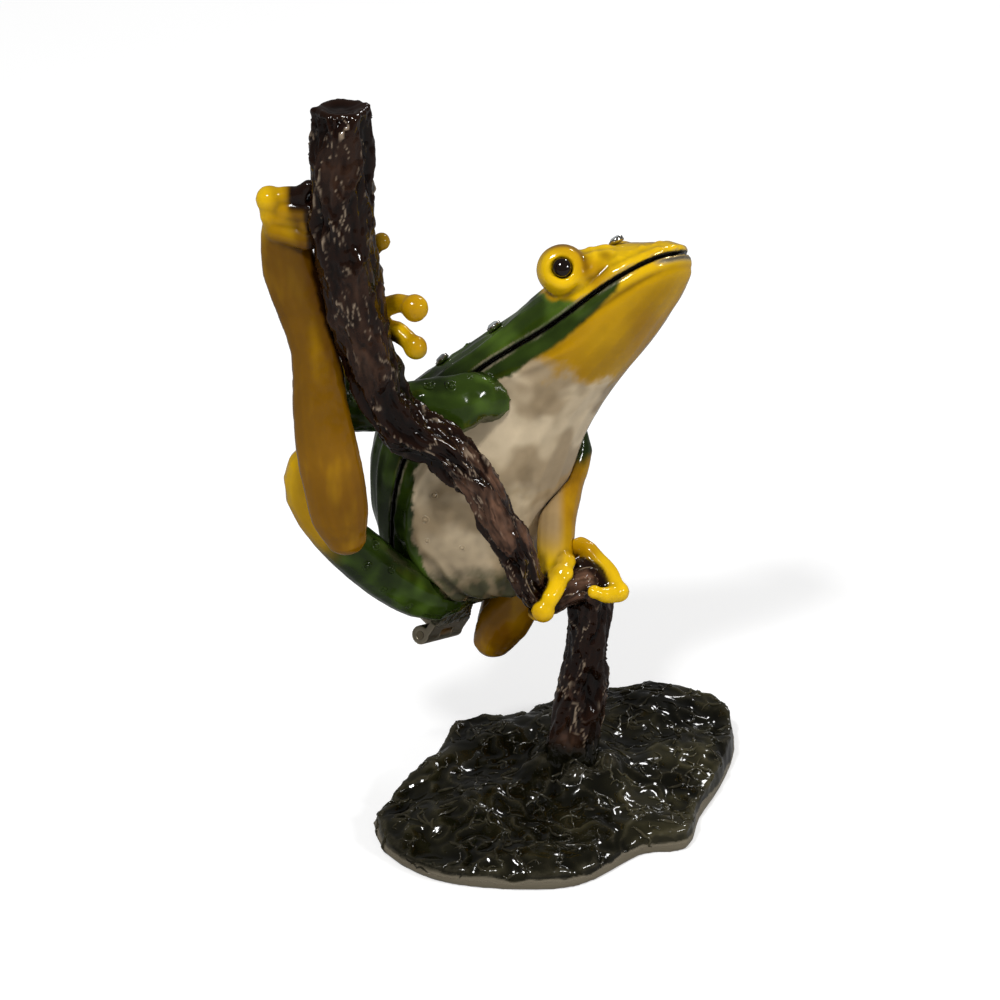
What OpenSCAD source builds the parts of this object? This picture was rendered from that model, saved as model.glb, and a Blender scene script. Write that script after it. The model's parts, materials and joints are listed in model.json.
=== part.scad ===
// Tree frog trinket box: an enamelled cast metal frog that clings to a branch.
// The frog's back and upper head are the lid, hinged at the rump along the line of the mouth and flank.
// Frame: Z up, origin at the middle of the rock's underside, the frog looks towards +X.

/* [Figure] */
// Height of the whole figure, from the underside of the rock to the cut top of the branch
figure_h = 95; // [80:1:120]
// Thickness of the branch
branch_d = 7; // [6:0.25:8]
// Thickness of a thigh
thigh_d = 6.4; // [5.5:0.1:7.2]
// Thickness of an upper arm
arm_d = 5.6; // [5:0.1:6.2]
// Width of the long hind foot at the heel
foot_w = 8; // [7:0.1:9]
// Thickness of a toe or a finger
toe_d = 2.5; // [2.2:0.1:2.9]
// Diameter of the round pad at the end of a toe or a finger
toe_pad_d = 3.5; // [3:0.1:4]

/* [Box] */
// Length of the frog's body, from the hinge pin to the snout
frog_l = 59.5; // [56:0.5:63]
// Width of the body at the belly
belly_w = 24; // [22:0.5:26]
// Height of the back above the seam
back_h = 9; // [8.2:0.2:9.8]
// Depth of the belly below the seam
belly_d = 14.2; // [13:0.2:15]
// Thickness of the cast walls
wall = 1.3; // [1:0.1:1.7]
// Gap between the lid and the box along the seam
seam_gap = 0.3; // [0.2:0.05:0.4]
// Least gap beside the lid, all along its way up
lid_clear = 0.4; // [0.3:0.05:0.6]

/* [Hinge] */
// Outer diameter of the hinge knuckles
knuckle_d = 2.4; // [2.2:0.1:2.8]
// Length of one hinge knuckle
knuckle_l = 2.8; // [2.2:0.1:3.4]
// Diameter of the hinge pin
pin_d = 1; // [0.8:0.05:1.2]
// Radial clearance of the pin in the lid's knuckle
pin_fit = 0.04; // [0.02:0.01:0.08]
// Gap between neighbouring knuckles
knuckle_gap = 0.12; // [0.08:0.02:0.2]
// Thickness of the hinge leaves
leaf_t = 0.9; // [0.7:0.05:1.1]

/* [Closure] */
// Diameter of the magnets in the jaw and in the snout
magnet_d = 3; // [2.5:0.1:3.4]
// Thickness of a magnet
magnet_t = 1.2; // [1:0.1:1.4]

/* [Eyes and crystals] */
// Diameter of the bulge around an eye
eye_bulge_d = 6.2; // [5.6:0.1:6.8]
// Diameter of the black glass eye
eye_d = 2.6; // [2.2:0.1:3]
// Diameter of a crystal
crystal_d = 1.9; // [1.6:0.1:2.2]

/* [Rock] */
// Length of the rock from left to right
rock_l = 46.5; // [42:0.5:52]
// Width of the rock from front to back
rock_w = 45; // [41:0.5:50]
// Height of the rock where the branch stands on it
rock_h = 5.5; // [4.5:0.25:6.5]
// Diameter of the tenon that holds the branch in the rock
tenon_d = 4; // [3:0.25:5]
// Depth of the tenon in the rock
tenon_l = 3; // [2:0.25:3.5]

/* [Hidden] */

// How the frog is held: its long axis leans from the vertical and it is rolled about that axis
frog_lean = 31;
frog_roll = 35;
// Place of the hinge pin's middle, in hundredths of the figure's height
hinge_place_shares = [-15.2, 6.3, 21.5];
// One hundredth of the figure's height
pct = figure_h / 100;
// Thin joint of solder between cast pieces that are fixed to one another
solder = 0.06;
// Overrun of every cut
over = 0.5;
// Clearance of a magnet, an eye, a crystal or a tenon in its seat
seat_fit = 0.05;
// Facets of the round pieces
round_fn = 48;

green = [0.13, 0.25, 0.09];
yellow = [0.80, 0.60, 0.05];
cream = [0.80, 0.74, 0.64];
bark = [0.17, 0.09, 0.06];
moss = [0.10, 0.13, 0.07];
pewter = [0.72, 0.70, 0.66];
glass_black = [0.05, 0.03, 0.02];
crystal_white = [0.90, 0.92, 0.95];

// Smooth curve through rows of numbers, with a few steps between each two rows
function blend_rows(a, b, c, d, t) =
    0.5 * (2 * b + (c - a) * t + (2 * a - 5 * b + 4 * c - d) * t * t + (3 * b - a - 3 * c + d) * t * t * t);
function smooth_rows(rows, steps) = let (last = len(rows) - 1) [
    for (i = [0 : last - 1])
        for (k = [0 : steps - 1])
            blend_rows(rows[max(i - 1, 0)], rows[i], rows[i + 1], rows[min(i + 2, last)], k / steps),
    rows[last]
];
function unit(v) = v / norm(v);
function place(row) = [row[0], row[1], row[2]];

// A limb's rows give a place in hundredths of the figure's height and two widths as shares of a thickness
function limb_rows(shares, width, depth, steps) = smooth_rows([
    for (s = shares) [s[0] * pct, s[1] * pct, s[2] * pct, s[3] * width / 2, s[4] * depth / 2]
], steps);

// Direction of travel at row i
function heading(rows, i) = unit(place(rows[min(i + 1, len(rows) - 1)]) - place(rows[max(i - 1, 0)]));

// One ring of a swept form: the first width lies across the hint direction, the second along it
function ring_at(centre, dir, hint, a, b, sides, ridge) =
    let (across = unit(cross(dir, hint)), along = cross(across, dir)) [
        for (k = [0 : sides - 1])
            let (turn = 360 * k / sides, swell = 1 + ridge * cos(4 * turn))
                centre + (across * a * cos(turn) + along * b * sin(turn)) * swell
    ];

// Faces of a closed skin over rings of equal size, with a point at each end
function skin_faces(count, sides) = concat(
    [for (k = [0 : sides - 1]) [0, 2 + (k + 1) % sides, 2 + k]],
    [for (i = [0 : count - 2], k = [0 : sides - 1]) [2 + i * sides + k, 2 + i * sides + (k + 1) % sides,
        2 + (i + 1) * sides + (k + 1) % sides]],
    [for (i = [0 : count - 2], k = [0 : sides - 1]) [2 + i * sides + k, 2 + (i + 1) * sides + (k + 1) % sides,
        2 + (i + 1) * sides + k]],
    [for (k = [0 : sides - 1]) [1, 2 + (count - 1) * sides + k, 2 + (count - 1) * sides + (k + 1) % sides]]
);

module skin(tip_a, tip_b, rings) {
    points = concat([tip_a, tip_b], [for (ring = rings) for (p = ring) p]);
    polyhedron(points = points, faces = skin_faces(len(rings), len(rings[0])), convexity = 6);
}

// Swept limb with ends rounded by a share of their own width
module limb(rows, hint, sides, round_share = 1, ridge = 0, grow = 0) {
    last = len(rows) - 1;
    turns = [60, 30];
    start = rows[0];
    finish = rows[last];
    dir_a = heading(rows, 0);
    dir_b = heading(rows, last);
    reach_a = (start[3] + grow) * round_share;
    reach_b = (finish[3] + grow) * round_share;
    cap_a = [for (t = turns) ring_at(place(start) - dir_a * reach_a * sin(t), dir_a, hint,
        (start[3] + grow) * cos(t), (start[4] + grow) * cos(t), sides, ridge)];
    body = [for (i = [0 : last]) ring_at(place(rows[i]), heading(rows, i), hint,
        rows[i][3] + grow, rows[i][4] + grow, sides, ridge)];
    cap_b = [for (k = [1 : len(turns)]) let (t = turns[len(turns) - k])
        ring_at(place(finish) + dir_b * reach_b * sin(t), dir_b, hint,
            (finish[3] + grow) * cos(t), (finish[4] + grow) * cos(t), sides, ridge)];
    skin(place(start) - dir_a * reach_a, place(finish) + dir_b * reach_b, concat(cap_a, body, cap_b));
}

// A toe or a finger: short hulls along its path, ending in a round pad
// Rows: place in hundredths of the figure's height, then the size as a share of a toe's thickness or pad
module toe(shares, grow = 0) {
    rows = smooth_rows([for (s = shares) [s[0] * pct, s[1] * pct, s[2] * pct, s[3]]], 2);
    last = len(rows) - 1;
    for (i = [0 : last - 1])
        hull()
            for (row = [rows[i], rows[i + 1]])
                translate(place(row))
                    sphere(d = row[3] * toe_d + 2 * grow, $fn = 10);
    translate(place(rows[last]))
        sphere(d = rows[last][3] * toe_pad_d + 2 * grow, $fn = 14);
}

// Branch
// Rows: place in hundredths of the figure's height, then the two widths as shares of the branch's thickness
branch_shares = [
    [2.5, -1.5, 8.6, 1.00, 1.00],
    [3.5, -1.3, 15, 0.95, 0.95],
    [4.3, -1.6, 22.5, 0.80, 0.82],
    [4.7, -2.0, 29, 0.78, 0.78],
    [3.9, -3.0, 33.2, 0.74, 0.74],
    [1.4, -4.4, 33.4, 0.66, 0.66],
    [-1.3, -5.8, 32.6, 0.58, 0.58],
    [-3.5, -6.9, 35.4, 0.58, 0.58],
    [-4.9, -7.4, 40, 0.64, 0.60],
    [-7.3, -7.6, 44.6, 0.70, 0.66],
    [-10, -7.9, 50.2, 0.74, 0.70],
    [-14, -8.2, 54.8, 0.84, 0.78],
    [-18.3, -8.4, 57.8, 0.88, 0.84],
    [-21.2, -8.6, 62.2, 0.90, 0.86],
    [-22.9, -9, 68.4, 0.93, 0.90],
    [-24.5, -9.3, 75, 0.98, 0.95],
    [-25.5, -9.5, 81.7, 1.05, 1],
    [-25.8, -9.5, 88, 1.05, 1.02],
    [-25.7, -9.5, 94.3, 1.00, 1],
    [-25.6, -9.5, 98.9, 0.97, 0.97]
];
branch_rows = limb_rows(branch_shares, branch_d, branch_d, 3);
branch_foot_shares = [2.3, -1.6];
branch_foot = branch_foot_shares * pct;
branch_foot_share = 0.52;
branch_ridge = 0.07;
branch_sides = 16;

module branch_form(grow = 0) {
    last = len(branch_rows) - 1;
    hint = [0, 1, 0];
    top = place(branch_rows[last]);
    half = branch_rows[last][3] + grow;
    bevel = figure_h - top[2];
    foot_half = branch_d * branch_foot_share + grow;
    foot_centre = [branch_foot[0], branch_foot[1], rock_h + solder - grow];
    foot_ring = ring_at(foot_centre, [0, 0, 1], hint, foot_half, foot_half, branch_sides, branch_ridge);
    rings = [for (i = [0 : last]) ring_at(place(branch_rows[i]), i == last ? [0, 0, 1] : heading(branch_rows, i),
        hint, branch_rows[i][3] + grow, branch_rows[i][4] + grow, branch_sides, branch_ridge)];
    top_centre = [top[0], top[1], figure_h + grow];
    top_ring = ring_at(top_centre, [0, 0, 1], hint, half - bevel, half - bevel, branch_sides, branch_ridge);
    skin(foot_centre, top_centre, concat([foot_ring], rings, [top_ring]));
}

module tenon(grow = 0) {
    translate([branch_foot[0], branch_foot[1], rock_h - tenon_l - grow])
        cylinder(d = tenon_d + 2 * grow, h = tenon_l + 2 * grow + over, $fn = round_fn);
}

module branch() {
    color(bark)
        union() {
            branch_form();
            tenon();
        }
}

// Rock
// Outline of the underside, as shares of the rock's length and width from its middle, clockwise from above,
// and the height of the rim above each point as a share of the rock's height
rock_outline_shares = [
    [-0.49, -0.17, 0.36], [-0.43, -0.03, 0.48], [-0.335, 0.10, 0.60], [-0.295, 0.235, 0.74],
    [-0.225, 0.295, 0.86], [-0.15, 0.285, 0.76], [-0.08, 0.33, 0.72],
    [0.05, 0.45, 0.66], [0.22, 0.51, 0.74], [0.38, 0.47, 0.78], [0.49, 0.375, 0.72], [0.50, 0.22, 0.66],
    [0.45, 0.03, 0.60], [0.385, -0.135, 0.52], [0.345, -0.285, 0.48], [0.225, -0.315, 0.44],
    [0.10, -0.44, 0.38], [0, -0.49, 0.36], [-0.165, -0.49, 0.34], [-0.33, -0.445, 0.32], [-0.455, -0.32, 0.32]
];
rock_middle_shares = [0.010, -0.005];
rock_steps = 3;
rock_foot_share = 0.14;
// How far each ring of the skin lies inside the rim, and how far it has risen from the rim to the middle
rock_inset_shares = [0.03, 0.12, 0.26, 0.42, 0.60, 0.76];
rock_rise_shares = [0.05, 0.22, 0.42, 0.62, 0.84, 1.0];
// Two crossing waves of humps: strength as a share of the rock's height, and waves along and across the rock
rock_hump_share = 0.10;
rock_wave_shares = [[2.6, 1.1, 40], [-1.3, 3.1, 200]];
rock_edge = [for (p = smooth_rows(concat(rock_outline_shares, [rock_outline_shares[0]]), rock_steps))
    [(p[0] + rock_middle_shares[0]) * rock_l, (p[1] + rock_middle_shares[1]) * rock_w, p[2]]];
rock_sides = len(rock_edge) - 1;
rock_foot_inset = 0.02;
rock_pad_share = 1.6;

function rock_wave(p, wave) = sin(360 * (wave[0] * p[0] / rock_l + wave[1] * p[1] / rock_w) + wave[2]);
function rock_flat(p, inset) = [p[0] + (branch_foot[0] - p[0]) * inset, p[1] + (branch_foot[1] - p[1]) * inset];
function rock_ring(inset, rise, hump) = [
    for (p = [for (k = [0 : rock_sides - 1]) rock_edge[k]])
        let (flat = rock_flat(p, inset), lift = hump * (rock_wave(flat, rock_wave_shares[0])
            + rock_wave(flat, rock_wave_shares[1])))
            [flat[0], flat[1], rock_h * (p[2] + (1 - p[2]) * rise + lift)]
];
function at_height(ring, height) = [for (p = ring) [p[0], p[1], height]];

module rock_base() {
    foot = at_height(rock_ring(rock_foot_inset, 0, 0), 0);
    edge = at_height(rock_ring(0, 0, 0), rock_h * rock_foot_share);
    pad_r = branch_d * rock_pad_share / 2;
    pad = [for (k = [0 : rock_sides - 1])
        let (p = pad_r * unit([rock_edge[k][0] - branch_foot[0], rock_edge[k][1] - branch_foot[1]]))
            [branch_foot[0] + p[0], branch_foot[1] + p[1], rock_h]];
    skin_rings = [for (i = [0 : len(rock_rise_shares) - 1])
        rock_ring(rock_inset_shares[i], rock_rise_shares[i], i == 0 ? 0 : rock_hump_share)];
    color(moss)
        difference() {
            skin([branch_foot[0], branch_foot[1], 0], [branch_foot[0], branch_foot[1], rock_h],
                concat([foot, edge], skin_rings, [pad]));
            tenon(seat_fit);
        }
}

// Frog's body
// The frog's own frame: X from the hinge to the snout, Y to the frog's left, Z towards its back
module frog_frame() {
    translate(hinge_place_shares * pct)
        rotate([0, frog_lean - 90, 0])
            rotate([-frog_roll, 0, 0])
                children();
}

// Rows along the seam: place along and above the chord as shares of the frog's length, then half the width,
// the height of the back and the depth of the belly as shares of the largest
body_shares = [
    [0.025, 0.021, 0, 0, 0],
    [0.038, 0.038, 0.46, 0.22, 0.70],
    [0.062, 0.062, 0.66, 0.30, 0.90],
    [0.110, 0.092, 0.80, 0.38, 0.97],
    [0.175, 0.130, 0.91, 0.54, 0.98],
    [0.250, 0.167, 0.98, 0.82, 0.98],
    [0.330, 0.193, 1, 1, 1],
    [0.415, 0.200, 1, 0.87, 1],
    [0.500, 0.192, 0.96, 0.64, 0.93],
    [0.580, 0.172, 0.90, 0.53, 0.81],
    [0.655, 0.143, 0.83, 0.54, 0.67],
    [0.715, 0.117, 0.78, 0.63, 0.56],
    [0.775, 0.095, 0.74, 0.65, 0.48],
    [0.825, 0.080, 0.70, 0.68, 0.42],
    [0.872, 0.066, 0.64, 0.61, 0.37],
    [0.917, 0.050, 0.55, 0.42, 0.31],
    [0.952, 0.036, 0.43, 0.26, 0.24],
    [0.977, 0.024, 0.27, 0.16, 0.16],
    [0.988, 0.016, 0, 0, 0]
];
body_rows = smooth_rows([for (s = body_shares)
    [s[0] * frog_l, s[1] * frog_l, s[2] * belly_w / 2, s[3] * back_h, s[4] * belly_d]], 2);
body_last = len(body_rows) - 1;
body_arc = 12;
// Fullness of the body's sections, where 1 is an ellipse and less is fuller
section_power = 0.85;
// The snout and the rump are cast solid, up to these rows
solid_rump = 4;
solid_snout = body_last - 8;

function seam_dir(i) = let (a = body_rows[max(i - 1, 0)], b = body_rows[min(i + 1, body_last)])
    unit([b[0] - a[0], b[1] - a[1]]);
function seam_up(i) = [-seam_dir(i)[1], seam_dir(i)[0]];

// Point on the body's skin at row i and turn t, where side is 1 for the back and -1 for the belly
function body_point(i, t, side, inset, lift) =
    let (row = body_rows[i], up = seam_up(i), half = max(row[2] - inset, 0),
        high = max(row[side > 0 ? 3 : 4] - inset, 0),
        rise = side * (lift + high * sin(t)))
        [row[0] + up[0] * rise, -half * sign(cos(t)) * pow(abs(cos(t)), section_power), row[1] + up[1] * rise];

function flipped(faces, turn) = turn ? [for (f = faces) [f[2], f[1], f[0]]] : faces;

// Half of the hollow body as one closed skin: an outer shell, an inner shell and the rim between them
module half_shell(side) {
    lift = seam_gap / 2;
    arcs = body_arc;
    outer = [for (i = [1 : body_last - 1], j = [0 : arcs]) body_point(i, 180 * j / arcs, side, 0, lift)];
    inner = [for (i = [solid_rump : solid_snout], j = [0 : arcs]) body_point(i, 180 * j / arcs, side, wall, lift)];
    ends = [
        body_point(0, 90, side, wall, lift), body_point(body_last, 90, side, wall, lift),
        body_point(solid_rump - 1, 90, side, belly_w, lift), body_point(solid_snout + 1, 90, side, belly_w, lift)
    ];
    row_n = arcs + 1;
    o0 = len(ends);
    n0 = o0 + len(outer);
    steps_o = body_last - 2;
    steps_n = solid_snout - solid_rump;
    first_o = o0 + (solid_rump - 1) * row_n;
    last_o = o0 + (solid_snout - 1) * row_n;
    faces = concat(
        [for (j = [0 : arcs - 1]) [0, o0 + j, o0 + j + 1]],
        [for (i = [0 : steps_o - 1], j = [0 : arcs - 1]) let (p = o0 + i * row_n + j) [p, p + row_n, p + row_n + 1]],
        [for (i = [0 : steps_o - 1], j = [0 : arcs - 1]) let (p = o0 + i * row_n + j) [p, p + row_n + 1, p + 1]],
        [for (j = [0 : arcs - 1]) let (p = o0 + steps_o * row_n + j) [1, p + 1, p]],
        [for (j = [0 : arcs - 1]) [2, n0 + j + 1, n0 + j]],
        [for (i = [0 : steps_n - 1], j = [0 : arcs - 1]) let (p = n0 + i * row_n + j) [p, p + row_n + 1, p + row_n]],
        [for (i = [0 : steps_n - 1], j = [0 : arcs - 1]) let (p = n0 + i * row_n + j) [p, p + 1, p + row_n + 1]],
        [for (j = [0 : arcs - 1]) let (p = n0 + steps_n * row_n + j) [3, p, p + 1]],
        rim_faces(0, o0, n0, first_o, last_o, row_n, steps_o, steps_n, false),
        rim_faces(arcs, o0, n0, first_o, last_o, row_n, steps_o, steps_n, true)
    );
    polyhedron(points = concat(ends, outer, inner), faces = flipped(faces, side > 0), convexity = 6);
}

// Rim along one side, where j is the first or the last point of each row
function rim_faces(j, o0, n0, first_o, last_o, row_n, steps_o, steps_n, turn) = flipped(concat(
    [[0, 2, o0 + j]],
    [for (i = [0 : solid_rump - 2]) let (p = o0 + i * row_n + j) [p, 2, p + row_n]],
    [[first_o + j, 2, n0 + j]],
    [for (i = [0 : steps_n - 1]) let (p = first_o + i * row_n + j, q = n0 + i * row_n + j) [p, q, p + row_n]],
    [for (i = [0 : steps_n - 1]) let (p = first_o + i * row_n + j, q = n0 + i * row_n + j)
        [q, q + row_n, p + row_n]],
    [[last_o + j, n0 + steps_n * row_n + j, 3]],
    [for (i = [solid_snout - 1 : steps_o - 1]) let (p = o0 + i * row_n + j) [p, 3, p + row_n]],
    [[o0 + steps_o * row_n + j, 3, 1]]
), turn);

// The whole outer form of the body, grown a little, used to trim what is soldered on it
module body_form(grow) {
    arcs = body_arc;
    lift = seam_gap / 2;
    rings = [for (i = [1 : body_last - 1]) concat(
        [for (j = [0 : arcs]) body_point(i, 180 * j / arcs, 1, -grow, lift)],
        [for (j = [0 : arcs]) body_point(i, 180 - 180 * j / arcs, -1, -grow, lift)]
    )];
    start = body_point(0, 90, 1, belly_w, 0);
    finish = body_point(body_last, 90, 1, belly_w, 0);
    skin(start - [grow, 0, grow], finish + [grow, 0, 0], rings);
}

// The room that the lid sweeps as it starts to open, as wide as the lid and a clearance on each side
lid_way_turn = 42;
lid_way_steps = 3;

function turned_up(u, v, w, turn) = [u * cos(turn) - w * sin(turn), v, w * cos(turn) + u * sin(turn)];

module lid_way() {
    rings = [for (i = [1 : body_last - 1]) let (row = body_rows[i], half = row[2] + lid_clear) concat(
        [for (k = [0 : lid_way_steps]) turned_up(row[0], -half, row[1], lid_way_turn * k / lid_way_steps)],
        [for (k = [0 : lid_way_steps]) turned_up(row[0], half, row[1], lid_way_turn * (1 - k / lid_way_steps))]
    )];
    mid = turned_up(body_rows[1][0], 0, body_rows[1][1], lid_way_turn / 2);
    far = turned_up(body_rows[body_last][0], 0, body_rows[body_last][1], lid_way_turn / 2);
    skin(mid, far, rings);
}

// A magnet lies in a bore in each rim of the solid snout, sunk a little below the rim
magnet_row = body_last - 5;
magnet_sink = 0.1;

module at_magnet(side) {
    row = body_rows[magnet_row];
    up = seam_up(magnet_row);
    translate([row[0], 0, row[1]])
        rotate([0, atan2(up[0], up[1]), 0])
            mirror([0, 0, side < 0 ? 1 : 0])
                children();
}

module magnet_seat(side) {
    at_magnet(side)
        cylinder(d = magnet_d + 2 * seat_fit, h = seam_gap / 2 + magnet_sink + magnet_t + seat_fit, $fn = round_fn);
}

module magnet(side) {
    color(pewter)
        frog_frame()
            at_magnet(side)
                translate([0, 0, seam_gap / 2 + magnet_sink])
                    cylinder(d = magnet_d, h = magnet_t, $fn = round_fn);
}

// Eyes
// Place of the bulge's middle as shares of the frog's length, and which way the eye looks
eye_place_shares = [0.838, 0.128, 0.160];
eye_turn = 106;
eye_yaw = 24;
eye_seat = 0.9;
eye_dome_share = 0.3;

module at_eye(side) {
    translate([eye_place_shares[0] * frog_l, side * eye_place_shares[1] * frog_l, eye_place_shares[2] * frog_l])
        rotate([-side * eye_turn, 0, -side * eye_yaw])
            children();
}

module eye(side) {
    rim = eye_bulge_d / 2;
    dome = eye_d * eye_dome_share;
    ball_r = (dome * dome + eye_d * eye_d / 4) / (2 * dome);
    color(glass_black)
        frog_frame()
            at_eye(side)
                intersection() {
                    translate([0, 0, rim - eye_seat])
                        cylinder(d = eye_d, h = eye_seat + dome + over, $fn = round_fn);
                    translate([0, 0, rim + dome - ball_r])
                        sphere(r = ball_r, $fn = round_fn);
                }
}

module eye_socket(side) {
    at_eye(side)
        translate([0, 0, eye_bulge_d / 2 - eye_seat - seat_fit])
            cylinder(d = eye_d + 2 * seat_fit, h = eye_seat + over, $fn = round_fn);
}

// Crystals, by the row of the body that carries them and the turn around it from the right rim
crystal_rows = [16, 19, 29];
crystal_turns = [58, 54, 80];
crystal_seat = 0.5;
crystal_girdle_share = 0.18;
crystal_crown_share = 0.22;
crystal_table_share = 0.6;

module at_crystal(k) {
    row = body_rows[crystal_rows[k]];
    up = seam_up(crystal_rows[k]);
    turn = crystal_turns[k];
    translate(body_point(crystal_rows[k], turn, 1, 0, seam_gap / 2))
        rotate([0, atan2(up[0], up[1]), 0])
            rotate([atan2(row[3] * cos(turn), row[2] * sin(turn)), 0, 0])
                children();
}

module back_crystals() {
    girdle = crystal_d * crystal_girdle_share;
    table_d = crystal_d * crystal_table_share;
    color(crystal_white)
        frog_frame()
            for (k = [0 : len(crystal_rows) - 1])
                at_crystal(k)
                    translate([0, 0, -crystal_seat]) {
                        cylinder(d = crystal_d, h = crystal_seat + girdle, $fn = round_fn);
                        translate([0, 0, crystal_seat + girdle])
                            cylinder(d1 = crystal_d, d2 = table_d, h = crystal_d * crystal_crown_share, $fn = round_fn);
                    }
}

module belly_shell() {
    color(cream)
        frog_frame()
            difference() {
                half_shell(-1);
                magnet_seat(-1);
            }
}

module back_shell() {
    color(green)
        frog_frame()
            difference() {
                union() {
                    half_shell(1);
                    for (side = [-1, 1])
                        at_eye(side)
                            sphere(d = eye_bulge_d, $fn = round_fn);
                }
                for (side = [-1, 1])
                    eye_socket(side);
                for (k = [0 : len(crystal_rows) - 1])
                    at_crystal(k)
                        translate([0, 0, -crystal_seat - seat_fit])
                            cylinder(d = crystal_d + 2 * seat_fit, h = crystal_seat + over, $fn = round_fn);
                magnet_seat(1);
            }
}

// Limbs
arm_hint = [0, 1, 0];
limb_sides = 14;

right_arm_shares = [
    [-5.5, 4.5, 55.0, 0.90, 0.9],
    [-9.4, 1.4, 57.5, 1.14, 1.02],
    [-12.6, -0.2, 57.2, 1.34, 1.08],
    [-16.4, -1.0, 57.6, 1.12, 1],
    [-20.9, -1.2, 57.2, 0.95, 0.95],
    [-25.0, -1.6, 56.6, 0.82, 0.85],
    [-27.2, -2.2, 58.8, 0.68, 0.72],
    [-27.2, -2.8, 63.0, 0.60, 0.62],
    [-26.7, -3.6, 67.2, 0.62, 0.60],
    [-25.2, -4.2, 69.8, 0.58, 0.55]
];
right_finger_shares = [
    [[-25.4, -4.0, 69.8, 1], [-22.0, -4.2, 71.6, 1], [-19.2, -5.0, 73.0, 0.95], [-17.3, -6.4, 72.9, 0.94]],
    [[-25.8, -3.8, 66.6, 1], [-22.2, -3.8, 68.6, 1.05], [-19.6, -5.4, 69.4, 1.05], [-17.3, -7.2, 68.0, 0.85]],
    [[-26.4, -3.4, 64.0, 1], [-24.0, -3.0, 63.6, 1], [-22.0, -3.4, 63.8, 0.8]]
];
left_arm_shares = [
    [-1.0, 12.0, 50.4, 0.8, 0.8],
    [1.4, 14.4, 47.0, 0.9, 0.9],
    [2.8, 13.8, 44.1, 0.82, 0.82],
    [1.9, 11.4, 41.6, 0.80, 0.80],
    [1.2, 8.0, 40.2, 0.84, 0.80],
    [0.4, 4.0, 38.6, 0.90, 0.84],
    [0.2, 0.4, 36.6, 0.94, 0.84],
    [0.0, -2.4, 34.8, 0.82, 0.70]
];
left_finger_shares = [
    [[0.2, -2.0, 34.8, 1.1], [0.4, -6.0, 35.2, 1.1], [-0.6, -8.4, 34.2, 0.95], [-1.5, -9.0, 32.6, 0.85]],
    [[1.4, -1.6, 36.0, 1], [1.5, -3.6, 36.6, 1], [1.0, -5.4, 36.0, 0.8]],
    [[-0.6, -2.8, 33.6, 1], [-1.8, -3.8, 31.2, 0.9], [-2.2, -6.0, 30.9, 0.7]]
];
right_thigh_shares = [
    [-12.4, 4.5, 28.8, 0.80, 0.80],
    [-15.4, 1.8, 28.8, 0.92, 0.92],
    [-19.4, -0.2, 31.6, 1.00, 0.98],
    [-23.8, -2.2, 36.2, 1.02, 1.00],
    [-28.2, -3.4, 41.4, 0.95, 0.95],
    [-31.2, -3.6, 46.4, 0.86, 0.85],
    [-31.0, -4.2, 50.6, 0.78, 0.76],
    [-28.8, -5.4, 52.4, 0.72, 0.70],
    [-27.2, -7.4, 49.8, 0.70, 0.60],
    [-26.4, -8.4, 46.4, 0.64, 0.50]
];
right_foot_shares = [
    [-26.2, -10.2, 43.8, 0.66, 0.72],
    [-26.8, -10.4, 46.4, 0.86, 0.95],
    [-27.4, -10.3, 50.6, 0.93, 1],
    [-28.3, -10.0, 56.0, 0.92, 0.96],
    [-29.0, -9.4, 62.0, 0.81, 0.86],
    [-29.3, -8.6, 68.0, 0.75, 0.80],
    [-30.6, -7.8, 73.6, 0.84, 0.76],
    [-32.3, -7.6, 78.6, 0.83, 0.70],
    [-33.0, -7.7, 83.2, 0.66, 0.62]
];
right_toe_shares = [
    [[-33.4, -8.2, 83.0, 1], [-34.3, -8.0, 85.4, 1.1], [-34.5, -7.9, 87.6, 0.92]],
    [[-34.4, -7.9, 87.6, 1], [-32.2, -8.2, 88.2, 0.9], [-30.2, -8.8, 88.6, 0.72]],
    [[-33.2, -8.0, 85.4, 1.2], [-31.4, -8.2, 85.1, 1.1], [-29.8, -8.8, 84.9, 0.78]],
    [[-31.8, -7.6, 78.4, 1], [-28.8, -5.0, 78.2, 1], [-24.0, -4.4, 78.4, 0.8], [-21.3, -5.4, 81.2, 0.62]],
    [[-31.0, -7.2, 74.2, 1], [-28.2, -5.4, 74.4, 1], [-25.4, -4.2, 74.8, 1], [-23.4, -4.2, 75.2, 0.8]]
];
left_thigh_shares = [
    [-9.0, 12.5, 29.0, 0.80, 0.80],
    [-8.2, 18.0, 30.4, 0.95, 0.95],
    [-7.6, 22.8, 32.6, 0.96, 0.96],
    [-7.2, 26.6, 33.4, 0.88, 0.88],
    [-6.8, 28.8, 30.6, 0.78, 0.78],
    [-6.6, 26.6, 27.4, 0.70, 0.70],
    [-6.6, 20.5, 25.0, 0.66, 0.66],
    [-7.0, 14.0, 22.6, 0.68, 0.68],
    [-7.6, 9.0, 21.0, 0.74, 0.74]
];
left_foot_shares = [
    [-7.8, 6.6, 20.0, 0.66, 0.80],
    [-6.4, 5.6, 23.2, 0.82, 0.94],
    [-4.2, 4.8, 26.8, 0.70, 0.84],
    [-1.6, 4.0, 30.4, 0.54, 0.70],
    [1.0, 2.6, 34.0, 0.44, 0.60]
];
left_toe_shares = [
    [[0.8, 2.6, 34.0, 1], [3.4, 0.2, 37.2, 0.9], [5.4, -1.6, 36.2, 0.88], [7.2, -3.0, 34.6, 0.88],
        [8.2, -4.2, 32.8, 0.78]],
    [[8.0, -4.4, 32.6, 0.9], [6.4, -6.0, 33.2, 0.8], [5.0, -6.4, 33.9, 0.5]],
    [[-0.4, 3.2, 32.2, 1], [1.6, 1.4, 33.0, 1], [4.2, 1.4, 32.4, 0.9], [6.2, 0.6, 31.6, 0.7]]
];
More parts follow.
